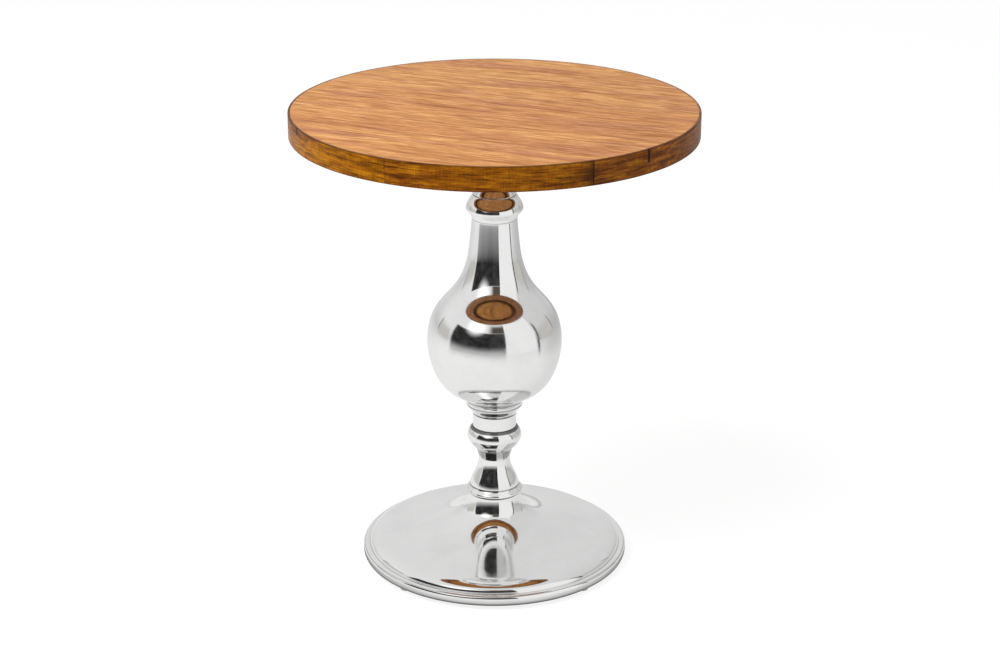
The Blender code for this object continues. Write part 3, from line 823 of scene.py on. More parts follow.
@dataclass(frozen=True)
class PolishFinish:
    """Mirror polish on a turned casting.

    Each shade ring is a black ring round a height, with a half width and a strength: painted shade in the
    seams and painted dark reflections in the mouldings. Within the cast radius the faces that look down are
    left as cast.
    """

    name: str
    shade_rings: tuple[Triple, ...] = ()
    cast_within: float = 0.0
    colour: Colour = (0.91, 0.91, 0.905)
    dull: float = 0.95
    base: float = 0.035
    haze: float = 0.05
    rings: float = 0.03
    bump: float = 0.05
    relief: float = 0.001
    shade_ring_colour: Colour = (0.045, 0.043, 0.041)
    shade_ring_dulling: float = 0.12
    cast_dark: Colour = (0.44, 0.44, 0.43)
    cast_light: Colour = (0.62, 0.62, 0.61)
    cast_dulling: float = 0.42
    cast_grit: float = 6.0

    def as_cast(self, graph: Graph, place: Socket) -> Socket:
        """Find the unpolished casting: the faces that look down within a radius.

        Args:
            graph: graph of the material.
            place: place on the casting.

        Returns:
            Share of unpolished casting.
        """
        facing = graph.split(graph.add("NewGeometry").outputs["True Normal"])[2]
        within = graph.span(graph.from_axis(place), self.cast_within - 0.0005, self.cast_within, 1.0, 0.0)
        return graph.product(graph.span(facing, -0.08, -0.02, 1.0, 0.0), within)

    def paint_shade_rings(self, graph: Graph, place: Socket) -> Socket:
        """Paint the black rings: shade in the seams and dark reflections in the mouldings.

        Args:
            graph: graph of the material.
            place: place on the casting.

        Returns:
            Share of the painted rings.
        """
        height = graph.split(place)[2]
        return graph.largest([graph.span(graph.between(height, level), reach * 0.4, reach, strength, 0.0)
                              for level, reach, strength in self.shade_rings])

    def material(self, groups: Groups) -> bpy.types.Material:
        """Build the casting's material.

        Args:
            groups: shared node groups.

        Returns:
            The material.
        """
        material, graph, shader = new_material(self.name)
        place = graph.place()
        values = {"Vector": place, "Base": self.base, "Haze": self.haze, "Rings": self.rings}
        polish = graph.add("Group", values, node_tree=groups.polish)
        dulled = tuple(channel * self.dull for channel in self.colour)
        colour = graph.mix(polish.outputs["Stain"], rgba(self.colour), rgba(dulled))
        rough = polish.outputs["Roughness"]
        height = polish.outputs["Height"]
        if self.shade_rings:
            # Painted shade in the seams and painted dark reflections in the mouldings, as black rings
            dark = self.paint_shade_rings(graph, place)
            colour = graph.mix(dark, colour, rgba(self.shade_ring_colour))
            rough = graph.math("ADD", rough, graph.product(dark, self.shade_ring_dulling))
        if self.cast_within:
            cast = self.as_cast(graph, place)
            sand = graph.noise(place, (900.0, 900.0, 900.0), 3.0, 0.6)
            skin = graph.mix(graph.span(sand, 0.3, 0.7), rgba(self.cast_dark), rgba(self.cast_light))
            colour = graph.mix(cast, colour, skin)
            rough = graph.math("ADD", rough, graph.product(cast, self.cast_dulling))
            height = graph.math("ADD", height, graph.product(cast, sand, self.cast_grit))
        graph.feed(shader.inputs["Base Color"], colour)
        graph.feed(shader.inputs["Roughness"], rough)
        graph.emboss(shader, height, self.bump, self.relief)
        shader.inputs["Metallic"].default_value = 1.0
        return material


@dataclass(frozen=True)
class ZincFinish:
    """Zinc plating: soft spangle in grey steel."""

    name: str = "zinc_plate"
    light: Colour = (0.66, 0.66, 0.64)
    dark: Colour = (0.50, 0.50, 0.49)
    dull: Colour = (0.4, 0.4, 0.4)

    def material(self) -> bpy.types.Material:
        """Build the material of all the fasteners.

        Returns:
            The material.
        """
        material, graph, shader = new_material(self.name)
        place = graph.place()
        spangle = graph.add("TexVoronoi", {"Vector": place, "Scale": 900.0}).outputs["Distance"]
        cloud = graph.noise(place, (260.0, 260.0, 260.0), 3.0)
        tone = graph.mix(graph.span(spangle, 0.1, 0.7), rgba(self.light), rgba(self.dark))
        colour = graph.mix(graph.span(cloud, 0.5, 0.8, 0.0, 0.4), tone, rgba(self.dull))
        graph.feed(shader.inputs["Base Color"], colour)
        graph.feed(shader.inputs["Roughness"], graph.span(cloud, 0.3, 0.7, 0.26, 0.44))
        graph.emboss(shader, cloud, 0.15, 0.0002)
        shader.inputs["Metallic"].default_value = 1.0
        return material


@dataclass(frozen=True)
class FeltFinish:
    """Pale pressed felt with loose fibres."""

    name: str = "pressed_felt"
    dark: Colour = (0.78, 0.77, 0.74)
    light: Colour = (0.92, 0.91, 0.88)

    def material(self) -> bpy.types.Material:
        """Build the material of the pads.

        Returns:
            The material.
        """
        material, graph, shader = new_material(self.name)
        fibre = graph.noise(graph.place(), (1900.0, 1900.0, 1900.0), 3.0, 0.7, 1.5)
        colour = graph.mix(graph.span(fibre, 0.3, 0.75), rgba(self.dark), rgba(self.light))
        graph.feed(shader.inputs["Base Color"], colour)
        graph.emboss(shader, fibre, 0.6, 0.0004)
        shader.inputs["Roughness"].default_value = 0.95
        shader.inputs["Sheen Weight"].default_value = 0.4
        return material


@dataclass
class WoodenTop:
    """Boards, the segments that thicken their edge from below, and the strips bent round them."""

    radius: float = 0.24992
    band: float = 0.003
    low: float = TOP_LOW
    seam: float = 0.5750
    high: float = TOP_HIGH
    grain: float = GRAIN
    joints: tuple[float, ...] = (-0.1625, -0.0850, -0.0075, 0.0700, 0.1475)
    slit: float = 0.00003
    fit: float = 0.00005
    arris: float = 0.0006
    strip_trim: float = 0.00004
    strip_steps: int = 72
    rim_count: int = 6
    rim_width: float = 0.039
    rim_joint: float = 25.0
    rim_fit: float = 0.0003
    rim_arris: float = 0.0012
    rim_trim: float = 0.00010
    rim_steps: int = 48

    def board(self, low: float, high: float) -> Mesh:
        """Strip of the disc between two lines along the grain.

        At angle p the strip is v = R sin(p) across the grain and ends at u = R cos(p) and -R cos(p) along it.

        Args:
            low: v of its first side.
            high: v of its second side.

        Returns:
            Vertices, and faces as index arrays.
        """
        reach = self.radius - self.band - self.fit
        limits = np.arcsin(np.clip(np.array([low, high]) / reach, -0.99996, 0.99996))
        count = max(8, int(np.degrees(limits[1] - limits[0]) / 0.75))
        angle = np.linspace(limits[0], limits[1], count)
        u = reach * np.cos(angle)
        v = reach * np.sin(angle)
        plan = np.concatenate([np.stack([u, v], axis=-1), np.stack([-u, v], axis=-1)])
        cosine, sine = math.cos(self.grain), math.sin(self.grain)
        plan = plan @ np.array([[cosine, sine], [-sine, cosine]])
        heights = np.repeat([self.high, self.seam], 2 * count)
        vertices = np.column_stack([np.tile(plan, (2, 1)), heights])
        right, left, right_low, left_low = np.arange(4 * count).reshape(4, count)
        strips = [(left[:-1], right[:-1], right[1:], left[1:]),
                  (left_low[:-1], left_low[1:], right_low[1:], right_low[:-1]),
                  (right_low[:-1], right_low[1:], right[1:], right[:-1]),
                  (left_low[1:], left_low[:-1], left[:-1], left[1:]),
                  (left_low[:1], right_low[:1], right[:1], left[:1]),
                  (right_low[-1:], left_low[-1:], left[-1:], right[-1:])]
        return vertices, [np.stack(strip, axis=-1) for strip in strips]

    def build_boards(self, groups: Groups) -> None:
        """Lay the boards side by side, each with a figure of its own.

        Args:
            groups: shared node groups.
        """
        edges = np.array([-self.radius, *self.joints, self.radius])
        for index, (low, high) in enumerate(zip(edges[:-1], edges[1:])):
            node = f"top_board_{index + 1}"
            finish = BoardFinish(f"{node}_lacquer", BOARD_TONES, self.grain, 1.7 * index + 0.4)
            mesh = self.board(low + self.slit, high - self.slit)
            stand_in(add_piece(f"{node}_plank", *mesh, finish.material(groups)), Slot.BOARD, node)

    def band_section(self) -> np.ndarray:
        """Draw the cross-section of a strip: flush inside, its outer arrises taken off.

        Returns:
            Rows of (radius, height).
        """
        inner, outer, ease = self.radius - self.band, self.radius, self.arris
        section = Profile((inner, self.high)).line((outer - ease, self.high), 2)
        section.bend((outer, self.high - ease), FLAT_FIRST, 5).line((outer, self.low + ease), 12)
        section.bend((outer - ease, self.low), UPRIGHT_FIRST, 5).line((inner, self.low), 2)
        return section.points()

    def build_bands(self, groups: Groups) -> None:
        """Bend the strips round the edge, butted end to end.

        Args:
            groups: shared node groups.
        """
        trim = self.strip_trim / self.radius
        for strip in STRIPS:
            node = f"edge_band_{strip.number}"
            start, end = math.radians(strip.start) + trim, math.radians(strip.end) - trim
            mesh = swept(self.band_section(), start, end, self.strip_steps)
            stand_in(add_piece(f"{node}_strip", *mesh, strip.material(groups)), Slot.BAND, node)

    def build_rim(self, groups: Groups) -> None:
        """Set the segments under the boards, each with its grain along its own chord.

        Args:
            groups: shared node groups.
        """
        outer = self.radius - self.band - self.rim_fit
        inner = outer - self.rim_width
        top, ease = self.seam - self.rim_fit, self.rim_arris
        section = Profile((inner, top)).line((outer, top), 2).line((outer, self.low), 2)
        section.line((inner + ease, self.low), 2).bend((inner, self.low + ease), FLAT_FIRST, 5)
        trim = self.rim_trim / outer
        step = math.tau / self.rim_count
        for index in range(self.rim_count):
            node = f"rim_segment_{index + 1}"
            start = math.radians(self.rim_joint) + step * index
            grain = start + step / 2 + math.pi / 2
            finish = BoardFinish(f"{node}_oil", RIM_TONES, grain, 5.1 + 1.3 * index,
                                 roughness=0.55, bump=0.25)
            mesh = swept(section.points(), start + trim, start + step - trim, self.rim_steps)
            stand_in(add_piece(f"{node}_block", *mesh, finish.material(groups)), Slot.RIM, node)

    def build(self, groups: Groups) -> None:
        """Build the whole top.

        Args:
            groups: shared node groups.
        """
        self.build_boards(groups)
        self.build_bands(groups)
        self.build_rim(groups)


# Painted shade in the seams and painted dark reflections in the mouldings of each casting: height, half width
# and strength of each ring
SHADE_AND_REFLECTION_RINGS = {"base_dish": ((0.0869, 0.0016, 0.85), (0.0172, 0.0004, 0.5)),
            "lower_stem": ((0.1760, 0.0024, 0.85), (0.1430, 0.0085, 0.40), (0.0970, 0.0012, 0.55),
                           (0.0882, 0.0013, 0.85)),
            "bulb_column": ((0.2085, 0.0014, 0.60), (0.1962, 0.0016, 0.80), (0.1775, 0.0012, 0.85),
                            (0.4545, 0.0007, 0.5))}


@dataclass
class Pedestal:
    """The four castings of the pedestal, with the sizes that their CAD nodes have."""

    sides: int = 176
    ease: float = 0.0004
    cast_dish: float = 0.1500

    def dish_outline(self) -> np.ndarray:
        """Draw the dish from the foot's top, down its outside, along the underside and up its bore.

        Returns:
            Rows of (radius, height).
        """
        outline = Profile((0.0243, 0.0872)).line((0.0317, 0.0872), 4).line((0.0327, 0.0862), 2)
        outline.bend((0.0416, 0.0642), ((0.0, 0.133), (0.318, 0.733)), 40)
        outline.bend((0.1391, 0.0299), ((0.128, 0.353), (0.327, 0.695)), 80)
        outline.bend((0.1610, 0.0173), ((0.602, 0.167), (1.0, 0.436)), 28)
        outline.bend((0.1650, 0.0183), ((0.2, 0.8), (0.6, 1.0)), 10)
        outline.bend((0.1695, 0.0138), FLAT_FIRST, 12).line((0.1695, 0.0093), 3)
        outline.bend((0.1645, 0.0043), UPRIGHT_FIRST, 12)
        outline.line((0.1505, 0.0043), 3).line((0.1475, 0.0198), 4)
        outline.bend((0.03736, 0.05996), ((0.0, 0.15), (0.70, 0.19)), 40)
        outline.line((0.0267, 0.0712), 3)
        outline.line((0.0070, 0.0712), 4).line((0.0070, 0.0812), 2).line((0.0243, 0.0812), 4)
        return eased(outline.points(), self.ease, True)

    def stem_outline(self) -> np.ndarray:
        """Draw the stem from the lip of its socket, down its mouldings to the register, and up its bore.

        Returns:
            Rows of (radius, height).
        """
        outline = Profile((0.0276, 0.1772)).line((0.0284, 0.1772))
        outline.bend((0.0345, 0.1642), ((0.35, 0.22), (1.0, 0.44)), 24)
        outline.bend((0.0290, 0.1527), ((0.0, 0.26), (0.62, 0.78)), 20)
        outline.bend((0.0237, 0.1467), ((0.35, 0.35), (0.90, 0.75)), 12)
        outline.bend((0.0198, 0.1342), ((0.28, 0.20), (1.0, 0.88)), 20)
        outline.bend((0.0312, 0.0977), ((0.0, 0.44), (0.85, 0.66)), 40)
        outline.bend((0.0362, 0.0907), ((0.10, 0.35), (0.90, 0.75)), 16)
        outline.line((0.0362, 0.0889), 2).line((0.0348, 0.0875), 2)
        outline.line((0.0240, 0.0875), 3).line((0.0240, 0.0815), 3)
        outline.line((0.0070, 0.0815), 4).line((0.0070, 0.1652), 8).line((0.0276, 0.1652), 4)
        return eased(outline.points(), self.ease, True)

    def bulb_outline(self) -> np.ndarray:
        """Draw the bulb from the collar's top, down the outside to the spigot's end, and up the hollow.

        Returns:
            Rows of (radius, height).
        """
        outline = Profile((0.0220, 0.4852)).line((0.0274, 0.4852), 2)
        outline.bend((0.0356, 0.4677), ((0.20, 0.24), (1.0, 0.69)), 28)
        outline.bend((0.0283, 0.4532), ((0.0, 0.28), (1.0, 0.45)), 24)
        outline.bend((0.0340, 0.4032), ((0.0, 0.06), (0.56, 0.78)), 30)
        outline.bend((0.0847, 0.2912), ((0.268, 0.545), (1.0, 0.44)), 84)
        outline.bend((0.0546, 0.2265), ((0.0, 0.015), (0.05, 0.726)), 54)
        outline.bend((0.0356, 0.2097), ((0.154, 0.10), (1.0, 0.67)), 20)
        outline.line((0.0356, 0.2070), 3)
        outline.bend((0.0279, 0.1947), ((0.30, 0.28), (1.0, 0.70)), 18)
        outline.line((0.0273, 0.1655), 8).line((0.0200, 0.1655), 2).line((0.0200, 0.2097), 6)
        outline.bend((0.0792, 0.2912), ((0.54, 0.15), (1.0, 0.49)), 20)
        outline.bend((0.0220, 0.4282), ((0.0, 0.44), (0.75, 0.33)), 24)
        return eased(outline.points(), self.ease, True)

    def flange_outline(self) -> np.ndarray:
        """Draw the flange from the middle of its plate, out, down the waisted tube, and up to the blind hole.

        The waist lies up to 5.3 mm inside the straight tube of the CAD node.

        Returns:
            Rows of (radius, height).
        """
        outline = Profile((0.0, 0.5747)).line((0.0788, 0.5747), 6).line((0.0800, 0.5735))
        outline.line((0.0800, 0.5679)).line((0.0788, 0.5667)).line((0.0440, 0.5667), 4)
        outline.bend((0.0215, 0.5217), ((0.60, 0.0), (1.0, 0.45)), 28).line((0.0215, 0.5010), 4)
        outline.bend((0.0268, 0.4855), ((0.0, 0.25), (0.25, 0.45)), 20)
        outline.line((0.0217, 0.4855), 2).line((0.0217, 0.4795), 2)
        outline.line((0.0160, 0.4795), 2).line((0.0160, 0.5330), 4).line((0.0063, 0.5427), 2)
        outline.line((0.0063, 0.5667), 3).line((0.0, 0.5667), 2)
        return eased(outline.points(), self.ease, False)

    def build(self, groups: Groups) -> None:
        """Turn the castings and give each its polish.

        Args:
            groups: shared node groups.
        """
        outlines = {"base_dish": self.dish_outline(), "lower_stem": self.stem_outline(),
                    "bulb_column": self.bulb_outline(), "top_flange": self.flange_outline()}
        for node, outline in outlines.items():
            cast = self.cast_dish if node == "base_dish" else 0.0
            finish = PolishFinish(f"{node}_polish", SHADE_AND_REFLECTION_RINGS.get(node, ()), cast).material(groups)
            stand_in(add_piece(f"{node}_turned", *turned(outline, self.sides), finish), Slot.ALUMINIUM, node)


@dataclass
class Fasteners:
    """Tie rod with its washer and nut, and the wood screws that hold the flange to the boards."""

    rod_radius: float = 0.006
    rod_low: float = 0.0541
    rod_high: float = 0.5664
    rod_pitch: float = 0.00175
    rod_thread: float = 0.0009
    rod_end: float = 0.0049
    rod_chamfer: float = 0.0006
    nut_low: float = 0.0581
    nut_high: float = 0.0681
    nut_clearance: float = 0.0003
    nut_bevel: float = 0.0008
    nut_sides: int = 144
    across_flats: float = 0.019
    washer_radius: float = 0.0180
    washer_low: float = 0.0684
    washer_high: float = 0.0709
    screw_circle: float = 0.064
    screw_count: int = 6
    screw_pitch: float = 0.0018
    screw_radius: float = 0.0022
    screw_thread: float = 0.0006
    head_level: float = 0.5664
    head_radius: float = 0.0045
    head_height: float = 0.0030
    recess: float = 0.0016
    first_screw: float = GRAIN

    def rod(self) -> Mesh:
        """Rod with a thread at its foot: its radius is R - d w, with w the depth of the thread's wave.

        Returns:
            Vertices, and faces as index arrays.
        """
        tail = np.linspace(self.rod_low + self.rod_chamfer, self.rod_low + 0.0300, 140)
        body = np.linspace(self.rod_low + 0.0310, self.rod_high - self.rod_chamfer, 40)
        heights = np.concatenate([body[::-1], tail[::-1]])
        angles = full_turn(48)
        depth = self.rod_thread * thread_depth(heights, angles, self.rod_pitch)
        radii = self.rod_radius - np.where(heights[None] <= tail[-1], depth, 0.0)
        ends = np.full((len(angles), 1), self.rod_end)
        heights = np.concatenate([[self.rod_high], heights, [self.rod_low]])
        return capped(spun(np.hstack([ends, radii, ends]), heights, angles))

    def nut(self) -> Mesh:
        """Hexagon nut with turned corners and a plain bore.

        At angle a a hexagon of half width h reaches h / cos(a mod 60 - 30), and a cone cuts its corners off.

        Returns:
            Vertices, and faces as index arrays.
        """
        angles = full_turn(self.nut_sides)
        half = self.across_flats / 2
        hexagon = half / np.cos(angles % (math.pi / 3) - math.pi / 6)
        heights = np.linspace(self.nut_high, self.nut_low, 25)
        depth = np.minimum(self.nut_high - heights, heights - self.nut_low)
        outside = np.minimum(hexagon[:, None], half * 0.97 + depth[None] / math.tan(math.radians(30.0)))
        bore, bevel = self.rod_radius + self.nut_clearance, self.nut_bevel
        inside = np.broadcast_to([bore + bevel, bore, bore, bore + bevel], (self.nut_sides, 4))
        levels = [self.nut_low, self.nut_low + bevel, self.nut_high - bevel, self.nut_high]
        grid = spun(np.hstack([outside, inside]), np.concatenate([heights, levels]), angles)
        return grid.reshape(-1, 3), [quads(grid.shape[:2], True, True)]

    def washer(self) -> Mesh:
        """Flat ring with eased edges.

        Returns:
            Vertices, and faces as index arrays.
        """
        bore, outer = self.rod_radius + self.nut_clearance, self.washer_radius
        outline = Profile((bore, self.washer_high)).line((outer, self.washer_high), 3)
        outline.line((outer, self.washer_low), 2).line((bore, self.washer_low), 3)
        return turned(eased(outline.points(), 0.0005, True), 96)

    def screw(self, angle: float) -> Mesh:
        """Pan-head screw: a threaded shank above, and a domed head below with a cross sunk into it.

        The dome is a quarter of an ellipse, and the cross is the larger of two troughs, each a step of the
        distance from its middle line.

        Args:
            angle: where it stands on the screw circle.

        Returns:
            Vertices, and faces as index arrays.
        """
        angles = full_turn(72)
        head = self.head_level
        shank = np.linspace(head + 0.0197, head + 0.0002, 150)
        taper = np.clip((head + 0.0200 - shank) / 0.0050, 0.0, 1.0)[None]
        depth = self.screw_thread * thread_depth(shank, angles, self.screw_pitch)
        shank_radii = (self.screw_radius - depth) * (0.12 + 0.88 * taper)
        share = np.linspace(0.0, math.pi / 2, 41)[1:-1]
        dome_radii = np.concatenate([[0.0016, 0.0042], self.head_radius * np.cos(share), [0.00002]])
        dome_drop = np.concatenate([[0.0, 0.0], self.head_height * np.sin(share), [self.head_height]])
        radii = np.hstack([shank_radii, np.broadcast_to(dome_radii, (len(angles), len(dome_radii)))])
        grid = spun(radii, np.concatenate([shank, head - dome_drop]), angles)
        x, y = grid[..., 0], grid[..., 1]
        arms = [np.clip((0.00062 - np.abs(a)) / 0.0002, 0, 1) * np.clip((0.0027 - np.abs(b)) / 0.0006, 0, 1)
                for a, b in ((x, y), (y, x))]
        on_head = np.arange(radii.shape[1]) >= len(shank) + 2
        grid[..., 2] += np.where(on_head[None], self.recess * np.maximum(*arms), 0.0)
        return capped(grid + self.screw_circle * np.array([math.cos(angle), math.sin(angle), 0.0]))

    def build(self) -> None:
        """Build every fastener in zinc-plated steel."""
        zinc = ZincFinish().material()
        stand_in(add_piece("tie_rod_threaded", *self.rod(), zinc, 20.0), Slot.ZINC, "tie_rod")
        stand_in(add_piece("rod_nut_hexagon", *self.nut(), zinc, 20.0), Slot.ZINC, "rod_nut")
        stand_in(add_piece("rod_washer_pressed", *self.washer(), zinc), Slot.ZINC, "rod_washer")
        for index in range(self.screw_count):
            node = f"flange_screw_{index + 1}"
            mesh = self.screw(self.first_screw + index * math.tau / self.screw_count)
            stand_in(add_piece(f"{node}_pan_head", *mesh, zinc, 30.0), Slot.ZINC, node)


@dataclass
class Pads:
    """Felt pads under the rim of the dish."""

    circle: float = 0.1575
    radius: float = 0.0065
    height: float = 0.004
    ease: float = 0.0009
    unevenness: float = 0.02
    count: int = 4

    def pad(self, angle: float) -> Mesh:
        """Pad whose rim is uneven: r = R (1 - u - u sin(5 a + angle) sin(3 a)), with pressed edges.

        Args:
            angle: where it stands on the pad circle.

        Returns:
            Vertices, and faces as index arrays.
        """
        outline = Profile((0.0, self.height)).line((self.radius, self.height), 6).line((self.radius, 0.0), 4)
        outline.line((0.0, 0.0), 6)
        vertices, faces = turned(eased(outline.points(), self.ease, False), 64)
        turn = np.arctan2(vertices[:, 1], vertices[:, 0])
        uneven = 1.0 - self.unevenness - self.unevenness * np.sin(5 * turn + angle) * np.sin(3 * turn)
        spread = np.column_stack([uneven, uneven, np.ones_like(uneven)])
        shift = np.array([self.circle * math.cos(angle), self.circle * math.sin(angle), 0.0])
        return vertices * spread + shift, faces

    def build(self) -> None:
        """Set the pads evenly round the dish."""
        felt = FeltFinish().material()
        for index in range(self.count):
            node = f"felt_pad_{index + 1}"
            mesh = self.pad(math.tau * (index + 0.5) / self.count)
            stand_in(add_piece(f"{node}_disc", *mesh, felt), Slot.FELT, node)


@dataclass(frozen=True)
class Panel:
    """Upright panel, bent round the table, that only the polish sees.

    A point at azimuth a and height z stands at (R sin a, -R cos a, z), so azimuth 0 is the viewer's side.
    The azimuths are in degrees, clockwise from the viewer. The feathers are the shares of the panel that fade
    at its left, right, lower and upper end. The foot adds a glow that dies away over a share of the height.
    """

    name: str
    turn: Point
    rise: Point
    glow: float
    feather: tuple[float, float, float, float] = (0.0, 0.0, 0.0, 0.0)
    radius: float = 1.75
    tint: Colour = (1.0, 1.0, 1.0)
    mottle: float = 0.0
    foot: Point = (0.0, 1.0)
    rounded: bool = False
    steps: tuple[int, int] = (49, 9)

    def cover(self, graph: Graph) -> Socket:
        """Find how much of the panel is there: it fades at the ends, or from a soft round patch outwards.

        Args:
            graph: graph of the material.

        Returns:
            Share of the panel.
        """
        place = graph.place("UV")
        if self.rounded:
            away = graph.length(graph.vector("SUBTRACT", place, (0.5, 0.5, 0.0)))
            return graph.span(away, 0.13, 0.5, 1.0, 0.0)
        across, up, _ = graph.split(place)
        left, right, lower, upper = (max(share, 1e-4) for share in self.feather)
        return graph.product(graph.window(across, (0.0, left), (1.0 - right, 1.0)),
                             graph.window(up, (0.0, lower), (1.0 - upper, 1.0)))

    def material(self) -> bpy.types.Material:
        """Build the glowing, mottled material of the panel.

        Returns:
            The material.
        """
        material, graph, shader = new_material(self.name)
        cloud = graph.noise(graph.place(), (2.0, 2.0, 2.6), 2.0)
        dim, bright = self.glow * (1.0 - self.mottle), self.glow * (1.0 + self.mottle)
        strength = graph.span(cloud, 0.3, 0.7, dim, bright)
        glow, share = self.foot
        fade = graph.math("POWER", graph.span(graph.split(graph.place("UV"))[1], 0.0, share, 1.0, 0.0), 2.0)
        strength = graph.math("ADD", strength, graph.product(fade, glow))
        graph.feed(shader.inputs["Emission Strength"], strength)
        graph.feed(shader.inputs["Alpha"], self.cover(graph))
        shader.inputs["Base Color"].default_value = BLACK
        shader.inputs["Specular IOR Level"].default_value = 0.0
        shader.inputs["Emission Color"].default_value = rgba(self.tint)
        return material

    def build(self) -> None:
        """Stand the panel up, hidden from everything but mirrored rays."""
        u, v = np.meshgrid(*(np.linspace(0.0, 1.0, count) for count in self.steps), indexing="ij")
        azimuth = np.radians(self.turn[0] + u * (self.turn[1] - self.turn[0]))
        height = self.rise[0] + v * (self.rise[1] - self.rise[0])
        grid = np.stack([self.radius * np.sin(azimuth), -self.radius * np.cos(azimuth), height], axis=-1)
        card = add_piece(self.name, grid.reshape(-1, 3), [quads(u.shape)[:, ::-1]], self.material())
        layer = card.data.uv_layers.new(name="UVMap")
        corner = np.empty(len(card.data.loops), np.int32)
        card.data.loops.foreach_get("vertex_index", corner)
        spread = np.stack([u, v], axis=-1).reshape(-1, 2)[corner]
        layer.data.foreach_set("uv", spread.astype(np.float32).ravel())
        for flag in ("camera", "diffuse", "transmission", "shadow", "volume_scatter"):
            setattr(card, f"visible_{flag}", False)


# The dark room behind the viewer with its lamp, and the paler and darker stretches beside it
PANELS = (
    Panel("dark_room", (-81.0, 19.2), (0.0, 1.40), 0.035, (0.05, 0.005, 0.0, 0.03), mottle=0.5,
          foot=(0.50, 0.38)),
    Panel("dim_wall", (-15.0, 19.2), (1.36, 2.44), 0.09, (0.4, 0.01, 0.06, 0.5), 1.74, (1.0, 0.84, 0.68)),
    Panel("lamp_panel", (-66.0, -10.0), (0.80, 3.00), 1.35, radius=1.72, rounded=True),
    Panel("right_panel", (19.2, 76.0), (0.0, 3.20), 0.90, (0.0, 0.05, 0.0, 0.2)),
    Panel("right_post", (77.0, 81.5), (0.0, 1.62), 0.08, (0.2, 0.3, 0.0, 0.3), radius=1.73),
    Panel("right_wall", (83.0, 118.0), (0.10, 1.00), 0.56, (0.1, 0.05, 0.3, 0.5), tint=(1.0, 0.97, 0.92)),
    Panel("right_edge", (117.0, 120.0), (0.20, 1.00), 0.22, (0.3, 0.3, 0.3, 0.3), radius=1.73),
    Panel("left_wall", (-113.0, -84.0), (0.10, 1.00), 0.56, (0.05, 0.1, 0.3, 0.5), tint=(1.0, 0.97, 0.91)),
    Panel("left_edge", (-115.0, -112.0), (0.20, 1.00), 0.22, (0.3, 0.3, 0.3, 0.3), radius=1.73),
)


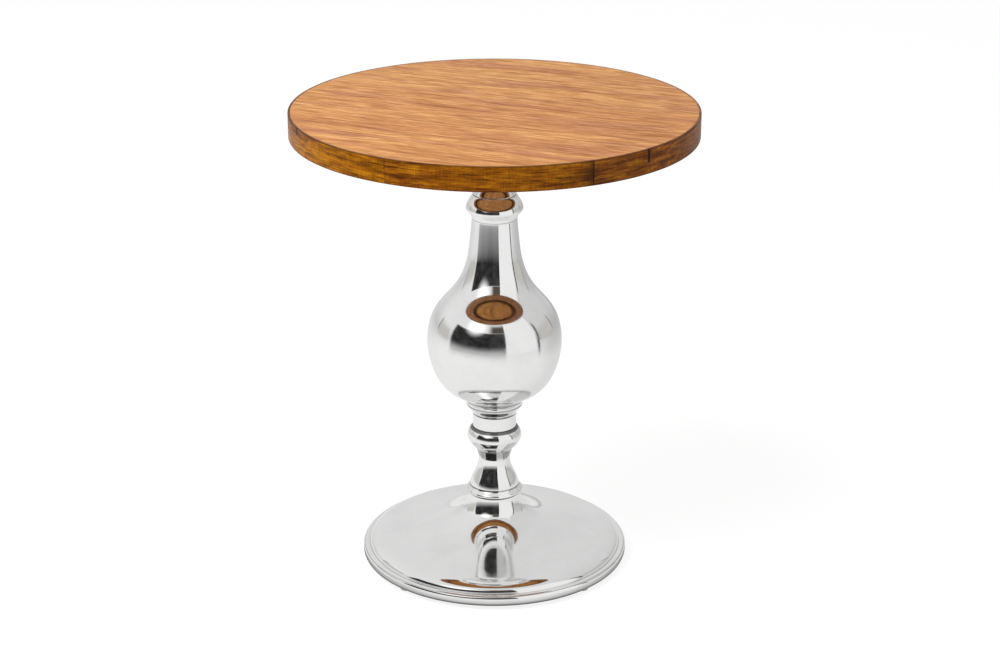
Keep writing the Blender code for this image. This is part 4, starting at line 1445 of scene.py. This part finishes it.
@dataclass
class Studio:
    """Camera, soft light, white floor, and the panels that the polish mirrors."""

    lens: float = 81.1753
    sensor: float = 36.0
    eye: Triple = (0.0, -2.648767, 1.305909)
    pitch: float = 0.36254717
    yaw: float = 0.00261997
    roll: float = 0.00145405
    sky: float = 0.55
    mirrored_sky: Point = (0.84, 0.64)
    seen_floor: float = 0.85
    mirrored_floor: float = 0.64
    floor_glow: float = 0.42
    floor_colour: Colour = (0.22, 0.22, 0.22)
    floor_reach: float = 14.0
    floor_level: float = -0.0005
    dim_floor: Point = (0.8, 1.75)
    contact: Point = (0.160, 0.205)
    lamp_place: Triple = (-1.1, -0.9, 2.6)
    lamp_aim: Triple = (0.0, 0.0, 0.4)
    lamp_size: float = 1.6
    lamp_power: float = 62.0

    def camera(self) -> None:
        """Place the camera: it looks down by pitch, and its right and up vectors turn by roll."""
        ahead = Vector((math.sin(self.yaw) * math.cos(self.pitch), math.cos(self.yaw) * math.cos(self.pitch),
                        -math.sin(self.pitch)))
        right = Vector((math.cos(self.yaw), -math.sin(self.yaw), 0.0))
        up = right.cross(ahead)
        right_rolled = right * math.cos(self.roll) + up * math.sin(self.roll)
        up_rolled = up * math.cos(self.roll) - right * math.sin(self.roll)
        data = bpy.data.cameras.new("photo_camera")
        data.lens = self.lens
        data.sensor_width = self.sensor
        camera = bpy.data.objects.new("photo_camera", data)
        axes = Matrix((right_rolled, up_rolled, -ahead)).transposed().to_4x4()
        camera.matrix_world = Matrix.Translation(self.eye) @ axes
        bpy.context.scene.collection.objects.link(camera)
        bpy.context.scene.camera = camera

    def world(self) -> None:
        """White for the eye, an even light, and for the polish a grey that pales up and to the left."""
        world = bpy.data.worlds.new("studio")
        world.use_nodes = True
        bpy.context.scene.world = world
        graph = Graph(world.node_tree)
        path = graph.add("LightPath").outputs
        mirror = graph.math("MAXIMUM", path["Is Glossy Ray"], path["Is Transmission Ray"])
        x, _, z = graph.split(graph.place("Generated"))
        low = graph.product(graph.span(z, -0.05, 0.45, 0.28, 0.0),
                            graph.span(graph.math("ABSOLUTE", x), 0.25, 0.80))
        slope = graph.span(x, -1.0, 1.0, *self.mirrored_sky, False)
        toned = graph.product(graph.math("SUBTRACT", 1.0, low), slope)
        mirrored = graph.product(mirror, graph.math("SUBTRACT", toned, self.sky))
        seen = graph.product(path["Is Camera Ray"], 1.0 - self.sky)
        background = world.node_tree.nodes["Background"]
        background.inputs["Color"].default_value = WHITE
        graph.feed(background.inputs["Strength"], graph.total(seen, mirrored, self.sky))

    def floor_shade(self, graph: Graph) -> Socket:
        """Dim the mirrored floor before the dark room, at the post, by the dish, to the right and behind.

        Args:
            graph: graph of the floor's material.

        Returns:
            Share of the floor's light that is left.
        """
        place = graph.place()
        x, y, _ = graph.split(place)
        distance = graph.from_axis(place)
        azimuth = graph.product(graph.math("ARCTAN2", x, graph.product(y, -1.0)), 180.0 / math.pi)
        room = graph.product(graph.window(azimuth, (-84.0, -74.0), (18.0, 20.0)),
                             graph.span(distance, *self.dim_floor), 0.30)
        post = graph.product(graph.window(azimuth, (75.0, 78.5), (80.0, 83.0)),
                             graph.span(distance, 0.8, 1.5, 0.0, 0.6))
        lit = graph.math("SUBTRACT", 1.0, graph.math("MAXIMUM", room, post))
        near = graph.span(distance, *self.contact, 0.1, 1.0)
        side = graph.product(graph.span(azimuth, 70.0, 110.0), graph.span(distance, 0.35, 1.2, 0.0, 0.24))
        far = graph.math("SUBTRACT", graph.span(y, 0.2, 1.6, 1.0, 0.88), side)
        return graph.product(lit, near, far)

    def floor(self) -> None:
        """Lay a white floor that keeps the table's shadow, and that the polish sees dimmer."""
        material, graph, shader = new_material("white_floor")
        path = graph.add("LightPath").outputs
        shade = self.floor_shade(graph)
        mirror = graph.math("MAXIMUM", path["Is Glossy Ray"], path["Is Transmission Ray"])
        mirrored = graph.product(mirror, shade, self.mirrored_floor)
        seen = graph.product(path["Is Camera Ray"], self.seen_floor)
        rest = graph.product(path["Is Diffuse Ray"], self.floor_glow)
        graph.feed(shader.inputs["Emission Strength"], graph.total(seen, mirrored, rest))
        lost = graph.product(mirror, graph.math("SUBTRACT", 1.0, shade))
        graph.feed(shader.inputs["Base Color"], graph.mix(lost, rgba(self.floor_colour), BLACK))
        shader.inputs["Roughness"].default_value = 1.0
        shader.inputs["Specular IOR Level"].default_value = 0.0
        shader.inputs["Emission Color"].default_value = WHITE
        span = np.linspace(-self.floor_reach, self.floor_reach, 5)
        grid = np.stack(np.meshgrid(span, span, self.floor_level, indexing="ij"), axis=-1)
        add_piece("floor", grid.reshape(-1, 3), [quads((5, 5))[:, ::-1]], material)

    def lamp(self) -> None:
        """Hang the square key lamp and aim it at the table."""
        data = bpy.data.lights.new("key_lamp", "AREA")
        data.shape = "SQUARE"
        data.size = self.lamp_size
        data.energy = self.lamp_power
        lamp = bpy.data.objects.new("key_lamp", data)
        aim = Vector(self.lamp_aim) - Vector(self.lamp_place)
        turn = aim.to_track_quat("-Z", "Y").to_matrix().to_4x4()
        lamp.matrix_world = Matrix.Translation(self.lamp_place) @ turn
        lamp.visible_glossy = False
        bpy.context.scene.collection.objects.link(lamp)

    def build(self) -> None:
        """Set up the whole studio."""
        bpy.context.scene.view_settings.view_transform = "Standard"
        self.camera()
        self.world()
        self.floor()
        for panel in PANELS:
            panel.build()
        self.lamp()


def main() -> None:
    """Build the studio and the table."""
    logging.basicConfig(level=logging.INFO, format="%(name)s: %(message)s")
    groups = Groups()
    Studio().build()
    WoodenTop().build(groups)
    Pedestal().build(groups)
    Fasteners().build()
    Pads().build()


if __name__ == "__main__":
    main()
